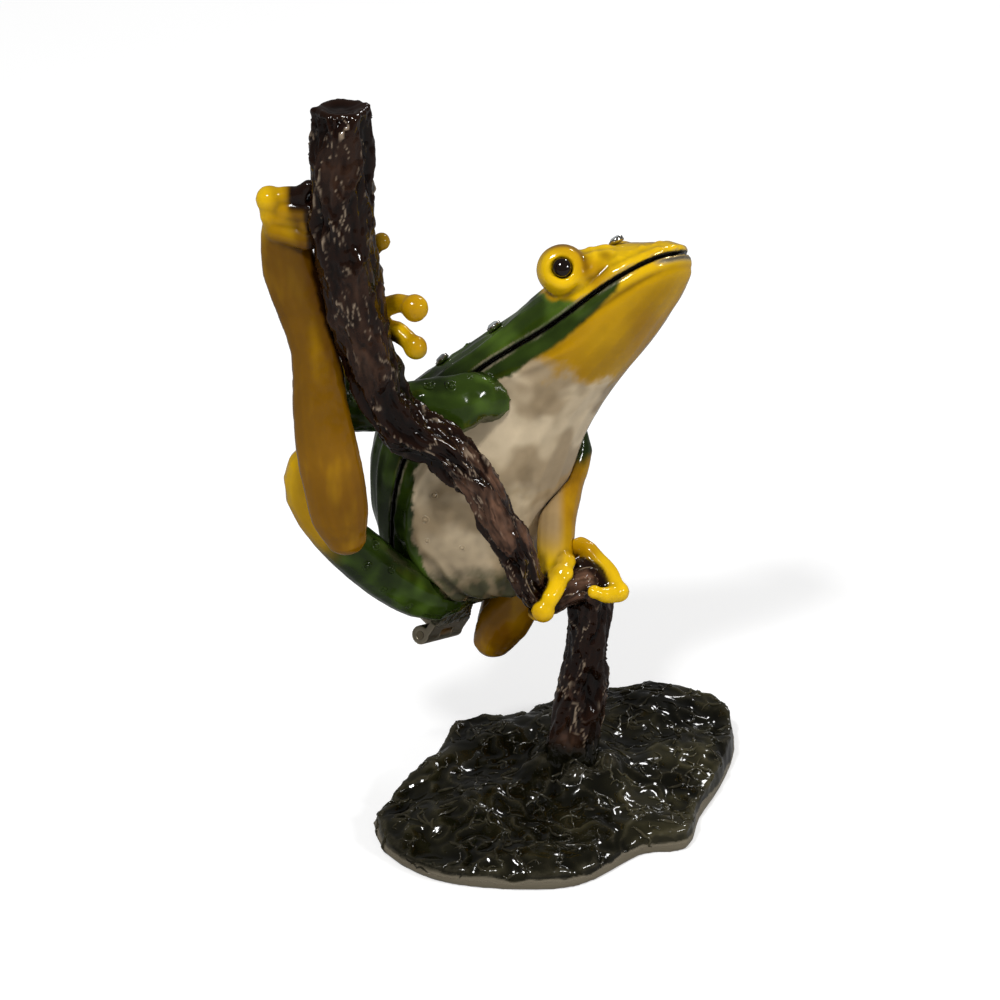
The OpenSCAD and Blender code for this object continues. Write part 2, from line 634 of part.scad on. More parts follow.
foot_depth_share = 0.6;

// What is soldered to the body and to the branch is trimmed by both, and keeps out of the lid's way
module soldered(tint) {
    color(tint)
        difference() {
            union() {
                children();
            }
            frog_frame() {
                body_form(solder);
                lid_way();
                box_leaf(solder);
            }
            branch_form(solder);
        }
}

module toes(shares, grow = 0) {
    for (t = shares)
        toe(t, grow);
}

module right_arm() {
    soldered(green) {
        limb(limb_rows(right_arm_shares, arm_d, arm_d, 2), arm_hint, limb_sides);
        toes(right_finger_shares);
    }
}

module left_arm() {
    soldered(green)
        difference() {
            union() {
                limb(limb_rows(left_arm_shares, arm_d, arm_d, 2), [1, 0, 0], limb_sides);
                toes(left_finger_shares);
            }
            left_foot(solder);
        }
}

module right_hind_leg() {
    soldered(yellow) {
        limb(limb_rows(right_thigh_shares, thigh_d, thigh_d, 2), arm_hint, limb_sides);
        limb(limb_rows(right_foot_shares, foot_w, foot_w * foot_depth_share, 2), arm_hint, limb_sides);
        toes(right_toe_shares);
    }
}

module left_foot(grow = 0) {
    limb(limb_rows(left_foot_shares, foot_w, foot_w * foot_depth_share, 2), arm_hint, limb_sides, grow = grow);
    toes(left_toe_shares, grow);
}

module left_hind_leg() {
    soldered(yellow) {
        limb(limb_rows(left_thigh_shares, thigh_d, thigh_d, 2), [1, 0, 0], limb_sides);
        left_foot();
    }
}

// Hinge
hinge_l = 3 * knuckle_l + 2 * knuckle_gap;

// Reach of the leaves from the pin to the rump, as a share of the frog's length
leaf_reach_share = 0.1;
// Width of the box leaf at its tip, as a share of its width at the knuckles
leaf_tip_share = 0.45;
// Height of the lid's leaf above the pin, as a share of the frog's length
leaf_rise_share = 0.06;
// The lid's leaf stands this far in front of the pin, as a share of the leaf's thickness
leaf_stand_share = 0.3;

module knuckle_tube(centre) {
    translate([0, centre, 0])
        rotate([90, 0, 0])
            cylinder(d = knuckle_d, h = knuckle_l, center = true, $fn = round_fn);
}

module pin_hole(centre, bore) {
    translate([0, centre, 0])
        rotate([90, 0, 0])
            cylinder(d = bore, h = knuckle_l + 2 * over, center = true, $fn = round_fn);
}

// The leaf under the rump, clear of the lid's knuckle
// The plate narrows from the knuckles to its tip inside the rump
module box_leaf(grow = 0) {
    start = knuckle_d / 2 + knuckle_gap;
    tip_l = hinge_l * leaf_tip_share;
    translate([0, 0, -seam_gap / 2 - leaf_t - grow])
        hull() {
            translate([start - grow, -hinge_l / 2 - grow, 0])
                cube([leaf_t + grow, hinge_l + 2 * grow, leaf_t + 2 * grow]);
            translate([frog_l * leaf_reach_share - leaf_t, -tip_l / 2 - grow, 0])
                cube([leaf_t + grow, tip_l + 2 * grow, leaf_t + 2 * grow]);
        }
}

// Both leaves are trimmed by the rump that they are soldered to
module box_knuckles() {
    color(pewter)
        frog_frame()
            difference() {
                union() {
                    for (side = [-1, 1]) {
                        knuckle_tube(side * (knuckle_l + knuckle_gap));
                        translate([0, side * (knuckle_l + knuckle_gap) - knuckle_l / 2, -seam_gap / 2 - leaf_t])
                            cube([knuckle_d, knuckle_l, leaf_t]);
                    }
                    box_leaf();
                }
                for (side = [-1, 1])
                    pin_hole(side * (knuckle_l + knuckle_gap), pin_d);
                body_form(solder);
            }
}

module lid_knuckle() {
    color(pewter)
        frog_frame()
            difference() {
                union() {
                    knuckle_tube(0);
                    translate([leaf_t * leaf_stand_share, -knuckle_l / 2, 0])
                        cube([leaf_t, knuckle_l, frog_l * leaf_rise_share]);
                }
                pin_hole(0, pin_d + 2 * pin_fit);
                body_form(solder);
            }
}

module hinge_pin() {
    color(pewter)
        frog_frame()
            rotate([90, 0, 0])
                cylinder(d = pin_d, h = hinge_l, center = true, $fn = round_fn);
}

module jaw_magnet() {
    magnet(-1);
}

module lid_magnet() {
    magnet(1);
}

module right_eye() {
    eye(-1);
}

module left_eye() {
    eye(1);
}

rock_base();
branch();
belly_shell();
back_shell();
right_arm();
left_arm();
right_hind_leg();
left_hind_leg();
box_knuckles();
lid_knuckle();
hinge_pin();
jaw_magnet();
lid_magnet();
right_eye();
left_eye();
back_crystals();
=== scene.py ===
import json
import math

import bmesh
import bpy
import numpy as np
from mathutils import Matrix, Vector, noise
from mathutils.bvhtree import BVHTree
from mathutils.kdtree import KDTree


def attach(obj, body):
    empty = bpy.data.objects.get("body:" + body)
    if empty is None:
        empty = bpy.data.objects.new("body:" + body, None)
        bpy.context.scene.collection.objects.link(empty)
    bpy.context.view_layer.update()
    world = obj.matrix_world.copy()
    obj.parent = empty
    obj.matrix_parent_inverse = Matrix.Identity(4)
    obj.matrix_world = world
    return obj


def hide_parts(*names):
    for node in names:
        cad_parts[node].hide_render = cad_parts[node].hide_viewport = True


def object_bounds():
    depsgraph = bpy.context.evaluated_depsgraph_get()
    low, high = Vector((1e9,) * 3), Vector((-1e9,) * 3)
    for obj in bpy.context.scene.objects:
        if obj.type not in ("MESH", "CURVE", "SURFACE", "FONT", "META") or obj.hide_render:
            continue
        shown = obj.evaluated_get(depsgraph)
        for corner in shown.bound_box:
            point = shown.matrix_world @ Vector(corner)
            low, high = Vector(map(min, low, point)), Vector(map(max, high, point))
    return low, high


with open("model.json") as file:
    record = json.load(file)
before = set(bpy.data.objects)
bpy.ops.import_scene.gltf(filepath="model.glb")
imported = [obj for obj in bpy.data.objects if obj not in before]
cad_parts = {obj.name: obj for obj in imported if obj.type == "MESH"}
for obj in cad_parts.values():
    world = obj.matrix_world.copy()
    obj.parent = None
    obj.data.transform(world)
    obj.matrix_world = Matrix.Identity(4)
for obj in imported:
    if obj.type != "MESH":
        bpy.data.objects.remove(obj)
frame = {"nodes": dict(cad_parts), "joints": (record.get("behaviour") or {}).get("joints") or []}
cad_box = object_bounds()

# Units: the scene is in metres, the casting's details are thought of in millimetres
MM = 0.001

# Camera fitted to the photograph, which is 1000 pixels wide and high
PICTURE_SIZE = 1000
CAMERA_PLACE = Vector((-0.0066, -0.3611, 0.2177))
CAMERA_TILT = math.radians(64)
CAMERA_LENS = 119.5
SENSOR_WIDTH = 36

# The frog's own frame: ahead to the snout, left, and up towards its back, with the hinge pin as its origin
FROG_LEAN = math.radians(31)
FROG_LENGTH = 59.5
lid_hinge = next(joint for joint in frame["joints"] if joint["name"] == "lid_hinge")
hinge_place = np.array(lid_hinge["pos_m"])
frog_left = -np.array(lid_hinge["axis"])
frog_ahead = np.array([math.sin(FROG_LEAN), 0, math.cos(FROG_LEAN)])
frog_up = np.cross(frog_ahead, frog_left)
frog_turn = np.array([frog_ahead, frog_left, frog_up])

# The seam between lid and box, ahead and up as shares of the frog's length, and half the body's width there
SEAM_SHARES = [
    (0.025, 0.021, 0), (0.038, 0.038, 0.073), (0.062, 0.062, 0.121), (0.110, 0.092, 0.157),
    (0.175, 0.130, 0.184), (0.250, 0.167, 0.198), (0.330, 0.193, 0.202), (0.415, 0.200, 0.202),
    (0.500, 0.192, 0.194), (0.580, 0.172, 0.182), (0.655, 0.143, 0.167), (0.715, 0.117, 0.157),
    (0.775, 0.095, 0.149), (0.825, 0.080, 0.141), (0.872, 0.066, 0.129), (0.917, 0.050, 0.111),
    (0.952, 0.036, 0.087), (0.977, 0.024, 0.054), (0.988, 0.016, 0),
]
# Reach of the seam's black line, its bare edge and the clear skin beyond it, in millimetres from the seam
SEAM_BLACK = (0.48, 0.3)
SEAM_BARE = (0.1, 0.5)
SEAM_CLEAR = (0.35, 1.1)

# The inside of a shell lies round this stretch of the frog's own middle line
CORE_START = 9
CORE_END = 52

# The eyes: middle of the bulge as shares of the frog's length, and which way it looks
EYE_SHARES = (0.838, 0.128, 0.160)
EYE_TURN = math.radians(106)
EYE_YAW = math.radians(24)
EYE_BULGE = 3.1
EYE_ACROSS = 2.6
EYE_PLAY = 0.14
EYE_SINK = 0.35
NOSTRIL = (53.9, 5.9, 3.3)
NOSTRIL_DEPTH = 0.35
NOSTRIL_RADIUS = 0.42
SIDES = (-1, 1)

# The branch's middle line in hundredths of the figure's height, with its thickness as a share
FIGURE_HEIGHT = 95
BRANCH_THICK = 7
BRANCH_SHARES = [
    (2.3, -1.6, 5.2, 1.10), (2.5, -1.5, 8.6, 1.00), (3.5, -1.3, 15, 0.95), (4.3, -1.6, 22.5, 0.80),
    (4.7, -2.0, 29, 0.78), (3.9, -3.0, 33.2, 0.74), (1.4, -4.4, 33.4, 0.66), (-1.3, -5.8, 32.6, 0.58),
    (-3.5, -6.9, 35.4, 0.58), (-4.9, -7.4, 40, 0.62), (-7.3, -7.6, 44.6, 0.68), (-10, -7.9, 50.2, 0.72),
    (-14, -8.2, 54.8, 0.81), (-18.3, -8.4, 57.8, 0.86), (-21.2, -8.6, 62.2, 0.88), (-22.9, -9, 68.4, 0.92),
    (-24.5, -9.3, 75, 0.97), (-25.5, -9.5, 81.7, 1.03), (-25.8, -9.5, 88, 1.04), (-25.7, -9.5, 94.3, 1.01),
    (-25.6, -9.5, 98.9, 0.98),
]
BRANCH_END_ROUNDING = 0.85


# Colours, written as the photograph shows them and turned into the renderer's light values
def tone(red, green, blue):
    """Colour from 0 to 255 parts, as a light value."""
    parts = np.array([red, green, blue]) / 255
    return np.where(parts <= 0.04045, parts / 12.92, ((parts + 0.055) / 1.055) ** 2.4)


YELLOW = tone(214, 172, 8)
OCHRE = tone(172, 128, 2)
AMBER = tone(124, 84, 2)
UMBER = tone(88, 52, 2)
GREEN = tone(40, 56, 12)
LEAF = tone(80, 106, 34)
DEEP_GREEN = tone(20, 30, 6)
CREAM = tone(200, 182, 152)
FAWN = tone(140, 120, 90)
MOUTH_BLACK = tone(10, 8, 6)
BROWN = tone(24, 9, 3)
MAUVE = tone(84, 60, 46)
TAN = tone(216, 192, 164)
MOSS_BLACK = tone(12, 11, 4)
MOSS_GREEN = tone(42, 39, 24)
PEWTER = tone(186, 174, 150)


# Arrays of places
def in_frog(places):
    """Places in the frog's own frame, in millimetres."""
    return (places - hinge_place) @ frog_turn.T / MM


def from_frog(ahead, left, up):
    return hinge_place + np.array([ahead, left, up]) @ frog_turn * MM


def smooth_rows(rows, steps):
    """More rows along a smooth curve through the given ones."""
    rows = np.array(rows, float)
    before = np.vstack([rows[:1], rows[:-2]])
    after = np.vstack([rows[2:], rows[-1:]])
    out = []
    for a, b, c, d in zip(before, rows[:-1], rows[1:], after):
        for k in range(steps):
            t = k / steps
            out.append(0.5 * (2 * b + (c - a) * t + (2 * a - 5 * b + 4 * c - d) * t * t
                              + (3 * b - a - 3 * c + d) * t ** 3))
    out.append(rows[-1])
    return np.array(out)


seam_rows = smooth_rows(SEAM_SHARES, 6) * FROG_LENGTH


def above_seam(frog):
    """Height above the seam, in millimetres."""
    return frog[:, 2] - np.interp(frog[:, 0], seam_rows[:, 0], seam_rows[:, 1])


def outward(frog, high, facing):
    """1 on the outer skin of a shell and 0 on its rim and inside."""
    from_core = np.stack([frog[:, 0] - np.clip(frog[:, 0], CORE_START, CORE_END), frog[:, 1], high], 1)
    return step((facing * from_core).sum(1), -0.1, 0.25)


def step(values, start, end):
    """0 at start, 1 at end, eased between them."""
    t = np.clip((values - start) / (end - start), 0, 1)
    return t * t * (3 - 2 * t)


def hump(values, middle, width):
    """1 at the middle, falling to 0 within about twice the width."""
    return np.exp(-((values - middle) / width) ** 2)


def blend(first, second, share):
    return first + (second - first) * np.asarray(share)[:, None]


def layered(base, *layers):
    """A colour with others laid over it in turn, each with its share at every place."""
    for colour, share in layers:
        base = blend(base, colour, share)
    return base


# Fractal noise: how its octaves weaken, how much finer each is, and how far each seed shifts it
CLOUD_FALL = 0.7
CLOUD_STEP = 2.0
CLOUD_SHIFT = Vector((17.3, 5.1, 9.7))


def cloud(places, size, seed, octaves=3):
    """Soft noise from about -1 to 1, in lumps of the given size in millimetres."""
    shift = CLOUD_SHIFT * seed
    return np.array([noise.fractal(Vector(place) + shift, CLOUD_FALL, CLOUD_STEP, octaves)
                     for place in places / (size * MM)])


# Meshes
def new_piece(name, data):
    piece = bpy.data.objects.new(name, data)
    bpy.context.scene.collection.objects.link(piece)
    return piece


def made_plain(piece):
    """Works the piece's modifiers into a plain mesh and takes them off."""
    graph = bpy.context.evaluated_depsgraph_get()
    piece.data = bpy.data.meshes.new_from_object(piece.evaluated_get(graph))
    piece.modifiers.clear()
    piece.data.shade_smooth()
    return piece


def ball(mesh, place, radius):
    """Adds a small ball to a mesh that is about to become one skin."""
    spot = Matrix.Translation(Vector(place))
    bmesh.ops.create_icosphere(mesh, subdivisions=2, radius=radius, matrix=spot)


def web(mesh, start, end, start_radius, end_radius, count=9):
    """Adds a tapered row of balls from one place to another, in millimetres."""
    for k in range(count):
        t = k / (count - 1)
        place = np.array(start) * (1 - t) + np.array(end) * t
        ball(mesh, place * MM, (start_radius * (1 - t) + end_radius * t) * MM)


def cast_copy(name, nodes, grain, easing, webs=()):
    """One even skin over copies of the solids, eased as a worn mould eases a casting."""
    skin = bmesh.new()
    for node_name in nodes:
        skin.from_mesh(frame["nodes"][node_name].data)
    bmesh.ops.remove_doubles(skin, verts=skin.verts, dist=0.001 * MM)
    for strip in webs:
        web(skin, *strip)
    mesh = bpy.data.meshes.new(name)
    skin.to_mesh(mesh)
    skin.free()
    piece = new_piece(name, mesh)
    remesh = piece.modifiers.new("even_skin", "REMESH")
    remesh.mode = "VOXEL"
    remesh.voxel_size = grain * MM
    ease = piece.modifiers.new("eased", "SMOOTH")
    ease.factor = 0.5
    ease.iterations = easing
    return made_plain(piece)


def read_places(mesh):
    places = np.empty(len(mesh.vertices) * 3, np.float32)
    mesh.vertices.foreach_get("co", places)
    return places.reshape(-1, 3).astype(float)


def read_normals(mesh):
    normals = np.empty(len(mesh.vertices) * 3, np.float32)
    mesh.vertex_normals.foreach_get("vector", normals)
    return normals.reshape(-1, 3).astype(float)


def write_places(mesh, places):
    """Sets the places, kept inside the object's size."""
    lowest, highest = np.array(cad_box[0]), np.array(cad_box[1])
    mesh.vertices.foreach_set("co", np.clip(places, lowest, highest).astype(np.float32).ravel())
    mesh.update()


def read_edges(mesh):
    edges = np.empty(len(mesh.edges) * 2, np.int32)
    mesh.edges.foreach_get("vertices", edges)
    return edges.reshape(-1, 2)


def evened(values, edges, times):
    """Values drawn towards the mean of their neighbours, a few times."""
    size = len(values)
    count = np.maximum(np.bincount(edges.ravel(), minlength=size), 1)
    for _ in range(times):
        total = np.bincount(edges[:, 0], values[edges[:, 1]], size)
        total += np.bincount(edges[:, 1], values[edges[:, 0]], size)
        values = 0.5 * values + 0.5 * total / count
    return values


def raise_skin(piece, relief):
    """Moves the skin out along its normals by a relief in millimetres."""
    mesh = piece.data
    write_places(mesh, read_places(mesh) + read_normals(mesh) * relief[:, None] * MM)


def sunken(piece, reach=0.12, times=14):
    """How deep each place lies in a groove, 0 to 1, and how far it stands on a crest, 0 to 1."""
    mesh = piece.data
    places = read_places(mesh)
    edges = read_edges(mesh)
    mean = np.stack([evened(places[:, k], edges, times) for k in range(3)], 1)
    rise = ((places - mean) * read_normals(mesh)).sum(1) / MM
    return np.clip(-rise / reach, 0, 1), np.clip(rise / reach, 0, 1)


def put_values(mesh, name, values, kind="FLOAT", field="value"):
    """Stores a value for every point of the mesh under a name."""
    layer = mesh.attributes.new(name, kind, "POINT")
    layer.data.foreach_set(field, np.asarray(values, np.float32).ravel())


def paint(piece, colours, bare=0.0):
    """Stores the enamel's colour, the bare metal, and the grooves and crests for the materials."""
    size = len(piece.data.vertices)
    full = np.ones((size, 4), np.float32)
    full[:, :3] = np.clip(colours, 0, 1)
    put_values(piece.data, "enamel", full, "FLOAT_COLOR", "color")
    groove, crest = sunken(piece)
    for name, values in (("bare", bare), ("groove", groove), ("crest", crest)):
        put_values(piece.data, name, np.broadcast_to(values, size))


def fitted(piece, finish, body, nodes=()):
    """Gives the piece its material, its body and the solids that it stands for."""
    piece.data.materials.clear()
    piece.data.materials.append(finish)
    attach(piece, body)
    if nodes:
        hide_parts(*nodes)
    return piece


# Node trees
def add(tree, kind, inputs=None, **settings):
    """Adds a node, with its settings and its inputs, each a value or another node's output."""
    made = tree.nodes.new(kind)
    for name, value in settings.items():
        setattr(made, name, value)
    for key, value in (inputs or {}).items():
        if isinstance(value, bpy.types.NodeSocket):
            tree.links.new(value, made.inputs[key])
        else:
            made.inputs[key].default_value = value
    return made


def calc(tree, operation, *values, clamp=False):
    made = add(tree, "ShaderNodeMath", dict(enumerate(values)), operation=operation, use_clamp=clamp)
    return made.outputs[0]


def times(tree, first, second):
    return calc(tree, "MULTIPLY", first, second)


def plus(tree, first, second):
    return calc(tree, "ADD", first, second)


def minus(tree, first, second):
    return calc(tree, "SUBTRACT", first, second)


def vector_calc(tree, operation, *values):
    return add(tree, "ShaderNodeVectorMath", dict(enumerate(values)), operation=operation).outputs[0]


def scaled(tree, vector, factor):
    return add(tree, "ShaderNodeVectorMath", {0: vector, "Scale": factor}, operation="SCALE").outputs[0]


def noise_at(tree, place, scale, detail, roughness=0.5):
    return add(tree, "ShaderNodeTexNoise", {
        "Vector": place, "Scale": scale, "Detail": detail, "Roughness": roughness}).outputs


def sockets(tree, way, *wanted):
    for name, kind, *value in wanted:
        socket = tree.interface.new_socket(name, in_out=way, socket_type="NodeSocket" + kind)
        if value:
            socket.default_value = value[0]


def shape_tree(name, *wanted):
    tree = bpy.data.node_groups.new(name, "GeometryNodeTree")
    sockets(tree, "INPUT", ("Geometry", "Geometry"), *wanted)
    sockets(tree, "OUTPUT", ("Geometry", "Geometry"))
    return tree, tree.nodes.new("NodeGroupInput").outputs


def end_tree(tree, geometry, finish):
    """Ends a tree with plain smooth geometry in its material."""
    real = add(tree, "GeometryNodeRealizeInstances", {"Geometry": geometry})
    smooth = add(tree, "GeometryNodeSetShadeSmooth", {"Geometry": real.outputs[0]})
    dressed = add(tree, "GeometryNodeSetMaterial", {"Geometry": smooth.outputs[0], "Material": finish})
    out = tree.nodes.new("NodeGroupOutput")
    tree.links.new(dressed.outputs[0], out.inputs[0])


def grown(piece, tree, **values):
    """Runs a tree on the piece with the named values and keeps the plain mesh that it makes."""
    modifier = piece.modifiers.new(tree.name, "NODES")
    modifier.node_group = tree
    taken_in = [item for item in tree.interface.items_tree if item.in_out == "INPUT"]
    identifiers = {item.name: item.identifier for item in taken_in}
    for name, value in values.items():
        modifier[identifiers[name.replace("_", " ")]] = value
    return made_plain(piece)


def store(tree, geometry, name, value, kind="FLOAT"):
    return add(tree, "GeometryNodeStoreNamedAttribute", {"Geometry": geometry, "Name": name, "Value": value},
               data_type=kind).outputs[0]


def named(tree, name, kind="FLOAT"):
    return add(tree, "GeometryNodeInputNamedAttribute", {"Name": name}, data_type=kind).outputs[0]


def ramp(tree, value, start, end):
    """Eased from 0 at start to 1 at end."""
    return add(tree, "ShaderNodeMapRange", {"Value": value, "From Min": start, "From Max": end},
               interpolation_type="SMOOTHSTEP").outputs[0]


# The bark's pattern, in widths and lengths of a chip: how far its edges wander and how its fibres stretch
CHIP_WANDER = (0.9, 0.9, 0.6)
FIBRE_STRETCH = (1.0, 1.0, 0.34)
# The branch isn't quite round: soft lobes about it, with their depth as a share of its half thickness
BRANCH_LOBES = 4.0
LOBE_DEPTH = 0.07


def branch_tree():
    """Sweeps the branch along its line and carves its bark: long smooth hollows between raised edges."""
    tree, given = shape_tree(
        "swept_branch", ("Sides", "Int"), ("Girth", "Float"), ("Chip Length", "Float"),
        ("Chip Width", "Float"), ("Chip Depth", "Float"), ("Ridge Height", "Float"),
        ("Groove Depth", "Float"), ("Ripple Depth", "Float"), ("Fibre Height", "Float"),
        ("Finish", "Material"))
    half = named(tree, "half")
    carving = named(tree, "carving")
    line = add(tree, "GeometryNodeMeshToCurve", {0: given["Geometry"]})
    place_on_line = add(tree, "GeometryNodeSplineParameter")
    line = store(tree, line.outputs[0], "along", place_on_line.outputs["Length"])
    round_off = add(tree, "GeometryNodeCurvePrimitiveCircle", {"Resolution": given["Sides"], "Radius": 1.0})
    place_on_round = add(tree, "GeometryNodeSplineParameter")
    round_off = store(tree, round_off.outputs[0], "around", place_on_round.outputs["Factor"])
    swept = add(tree, "GeometryNodeCurveToMesh", {
        "Curve": line, "Profile Curve": round_off, "Scale": half, "Fill Caps": True})
    turn = times(tree, named(tree, "around"), 2 * math.pi)
    across, deep = (
        calc(tree, "DIVIDE", times(tree, calc(tree, wave, turn), given["Girth"]), given["Chip Width"])
        for wave in ("COSINE", "SINE"))
    spot = add(tree, "ShaderNodeCombineXYZ", {
        0: across, 1: deep, 2: calc(tree, "DIVIDE", named(tree, "along"), given["Chip Length"])}).outputs[0]
    wander = noise_at(tree, spot, 1.6, 2.0)["Color"]
    bent = vector_calc(tree, "ADD", spot, vector_calc(tree, "MULTIPLY", wander, CHIP_WANDER))
    edge = add(tree, "ShaderNodeTexVoronoi", {"Vector": bent, "Scale": 1.0}, feature="DISTANCE_TO_EDGE")
    chip = add(tree, "ShaderNodeTexVoronoi", {"Vector": bent, "Scale": 1.0}, feature="F1")
    level = add(tree, "ShaderNodeSeparateXYZ", {0: chip.outputs["Color"]}).outputs[0]
    bowl = ramp(tree, edge.outputs["Distance"], 0.03, 0.30)
    ridge = minus(tree, 1.0, ramp(tree, edge.outputs["Distance"], 0.0, 0.06))
    lowered = times(tree, times(tree, bowl, level), given["Chip Depth"])
    relief = minus(tree, times(tree, ridge, given["Ridge Height"]), lowered)
    lobes = times(tree, calc(tree, "COSINE", times(tree, turn, BRANCH_LOBES)), times(tree, half, LOBE_DEPTH))
    grooves = noise_at(tree, bent, 2.6, 1.0)[0]
    relief = plus(tree, relief, times(tree, minus(tree, grooves, 0.55), given["Groove Depth"]))
    strands = noise_at(tree, vector_calc(tree, "MULTIPLY", bent, FIBRE_STRETCH), 1.8, 1.0)[0]
    off_strand = calc(tree, "ABSOLUTE", minus(tree, strands, 0.5))
    fibre = minus(tree, 1.0, ramp(tree, off_strand, 0.002, 0.013))
    relief = plus(tree, relief, times(tree, fibre, given["Fibre Height"]))
    relief = times(tree, plus(tree, relief, lobes), carving)
    place = tree.nodes.new("GeometryNodeInputPosition").outputs[0]
    ripples = minus(tree, noise_at(tree, place, 800.0, 1.0)[0], 0.6)
    relief = plus(tree, relief, times(tree, ripples, given["Ripple Depth"]))
    normal = tree.nodes.new("GeometryNodeInputNormal").outputs[0]
    carved = add(tree, "GeometryNodeSetPosition", {
        "Geometry": swept.outputs[0], "Offset": scaled(tree, normal, relief)}).outputs[0]
    for name, value in (("chip_ridge", ridge), ("fibre", fibre), ("chip_bowl", bowl)):
        carved = store(tree, carved, name, times(tree, value, carving))
    carved = store(tree, carved, "chip_level", level)
    end_tree(tree, carved, given["Finish"])
    return tree


def strand_tree():
    """Scatters short curled strands of moss that lie on a surface."""
    tree, given = shape_tree(
        "moss_strands", ("Density", "Float"), ("Length", "Float"), ("Thickness", "Float"), ("Curl", "Float"),
        ("Seed", "Int"), ("Finish", "Material"))
    normal = tree.nodes.new("GeometryNodeInputNormal").outputs[0]
    upright = add(tree, "ShaderNodeSeparateXYZ", {0: normal}).outputs[2]
    spread = add(tree, "GeometryNodeDistributePointsOnFaces", {
        "Mesh": given["Geometry"], "Selection": calc(tree, "GREATER_THAN", upright, 0.35),
        "Density": given["Density"], "Seed": given["Seed"]})
    spin = add(tree, "FunctionNodeRandomValue", {2: 0.0, 3: 2 * math.pi, "Seed": given["Seed"]},
               data_type="FLOAT")
    flat_turn = add(tree, "FunctionNodeAxisAngleToRotation", {"Axis": (0, 0, 1), "Angle": spin.outputs[1]})
    turned = add(tree, "FunctionNodeRotateRotation", {
        0: spread.outputs["Rotation"], 1: flat_turn.outputs[0]}, rotation_space="LOCAL")
    start, end = (add(tree, "ShaderNodeCombineXYZ", {0: times(tree, given["Length"], share)}).outputs[0]
                  for share in (-0.5, 0.5))
    line = add(tree, "GeometryNodeCurvePrimitiveLine", {"Start": start, "End": end})
    line = add(tree, "GeometryNodeResampleCurve", {"Curve": line.outputs[0], "Count": 10})
    reach = add(tree, "FunctionNodeRandomValue", {2: 0.45, 3: 1.25, "Seed": 7}, data_type="FLOAT")
    laid = add(tree, "GeometryNodeInstanceOnPoints", {
        "Points": spread.outputs["Points"], "Instance": line.outputs[0], "Rotation": turned.outputs[0],
        "Scale": reach.outputs[1]})
    real = add(tree, "GeometryNodeRealizeInstances", {"Geometry": laid.outputs[0]}).outputs[0]
    place = tree.nodes.new("GeometryNodeInputPosition").outputs[0]
    swirl = noise_at(tree, place, 620.0, 1.0)["Color"]
    push = scaled(tree, vector_calc(tree, "SUBTRACT", swirl, (0.5, 0.5, 0.5)), given["Curl"])
    curled = add(tree, "GeometryNodeSetPosition", {"Geometry": real, "Offset": push}).outputs[0]
    near = add(tree, "GeometryNodeProximity", {0: given["Geometry"]}, target_element="FACES")
    lift = add(tree, "ShaderNodeCombineXYZ", {2: times(tree, given["Thickness"], 0.2)}).outputs[0]
    sunk = vector_calc(tree, "ADD", near.outputs["Position"], lift)
    curled = add(tree, "GeometryNodeSetPosition", {"Geometry": curled, "Position": sunk}).outputs[0]
    factor = add(tree, "GeometryNodeSplineParameter").outputs["Factor"]
    taper = times(tree, times(tree, factor, minus(tree, 1.0, factor)), 4.0)
    taper = plus(tree, calc(tree, "POWER", taper, 0.6), 0.12)
    ring = add(tree, "GeometryNodeCurvePrimitiveCircle", {"Resolution": 6, "Radius": given["Thickness"]})
    solid = add(tree, "GeometryNodeCurveToMesh", {
        "Curve": curled, "Profile Curve": ring.outputs[0], "Scale": taper, "Fill Caps": True})
    end_tree(tree, solid.outputs[0], given["Finish"])
    return tree


def stud_tree():
    """Sets one form on every point of a piece, turned to the way that the point faces."""
    tree, given = shape_tree("set_studs", ("Form", "Object"), ("Finish", "Material"))
    points = add(tree, "GeometryNodeMeshToPoints", {"Mesh": given["Geometry"]})
    form = add(tree, "GeometryNodeObjectInfo", {"Object": given["Form"]})
    facing = add(tree, "FunctionNodeAlignRotationToVector", {
        "Vector": named(tree, "facing", "FLOAT_VECTOR")}, axis="Z")
    studs = add(tree, "GeometryNodeInstanceOnPoints", {
        "Points": points.outputs[0], "Instance": form.outputs["Geometry"], "Rotation": facing.outputs[0],
        "Scale": named(tree, "size")})
    end_tree(tree, studs.outputs[0], given["Finish"])
    return tree


# Materials
def shader_group(name, given, put_out):
    tree = bpy.data.node_groups.new(name, "ShaderNodeTree")
    sockets(tree, "INPUT", *given)
    sockets(tree, "OUTPUT", *put_out)
    return tree, tree.nodes.new("NodeGroupInput").outputs, tree.nodes.new("NodeGroupOutput").inputs


def lumps_of(tree, size, detail, roughness=0.5):
    """Noise in lumps of the given size, fixed to the object."""
    place = add(tree, "ShaderNodeTexCoord").outputs["Object"]
    return noise_at(tree, place, calc(tree, "DIVIDE", 1.0, size), detail, roughness)[0]


def pooled_enamel():
    """Enamel that lies thick and darker in grooves, with soft clouds in it, and a painted highlight that
    lightens its crests.
    """
    tree, given, out = shader_group(
        "pooled_enamel",
        [("Enamel", "Color"), ("Groove", "Float"), ("Crest", "Float"), ("Cloud Size", "Float"),
         ("Cloud Depth", "Float"), ("Pool Depth", "Float"), ("Crest Lift", "Float")],
        [("Colour", "Color")])
    soft = lumps_of(tree, given["Cloud Size"], 4.0, 0.6)
    shade = plus(tree, 1.0, times(tree, minus(tree, soft, 0.5), given["Cloud Depth"]))
    shade = times(tree, shade, minus(tree, 1.0, times(tree, given["Groove"], given["Pool Depth"])))
    # Painted highlight: the colour is lightened on crests.
    shade = plus(tree, shade, times(tree, given["Crest"], given["Crest Lift"]))
    tree.links.new(scaled(tree, given["Enamel"], shade), out["Colour"])
    return tree


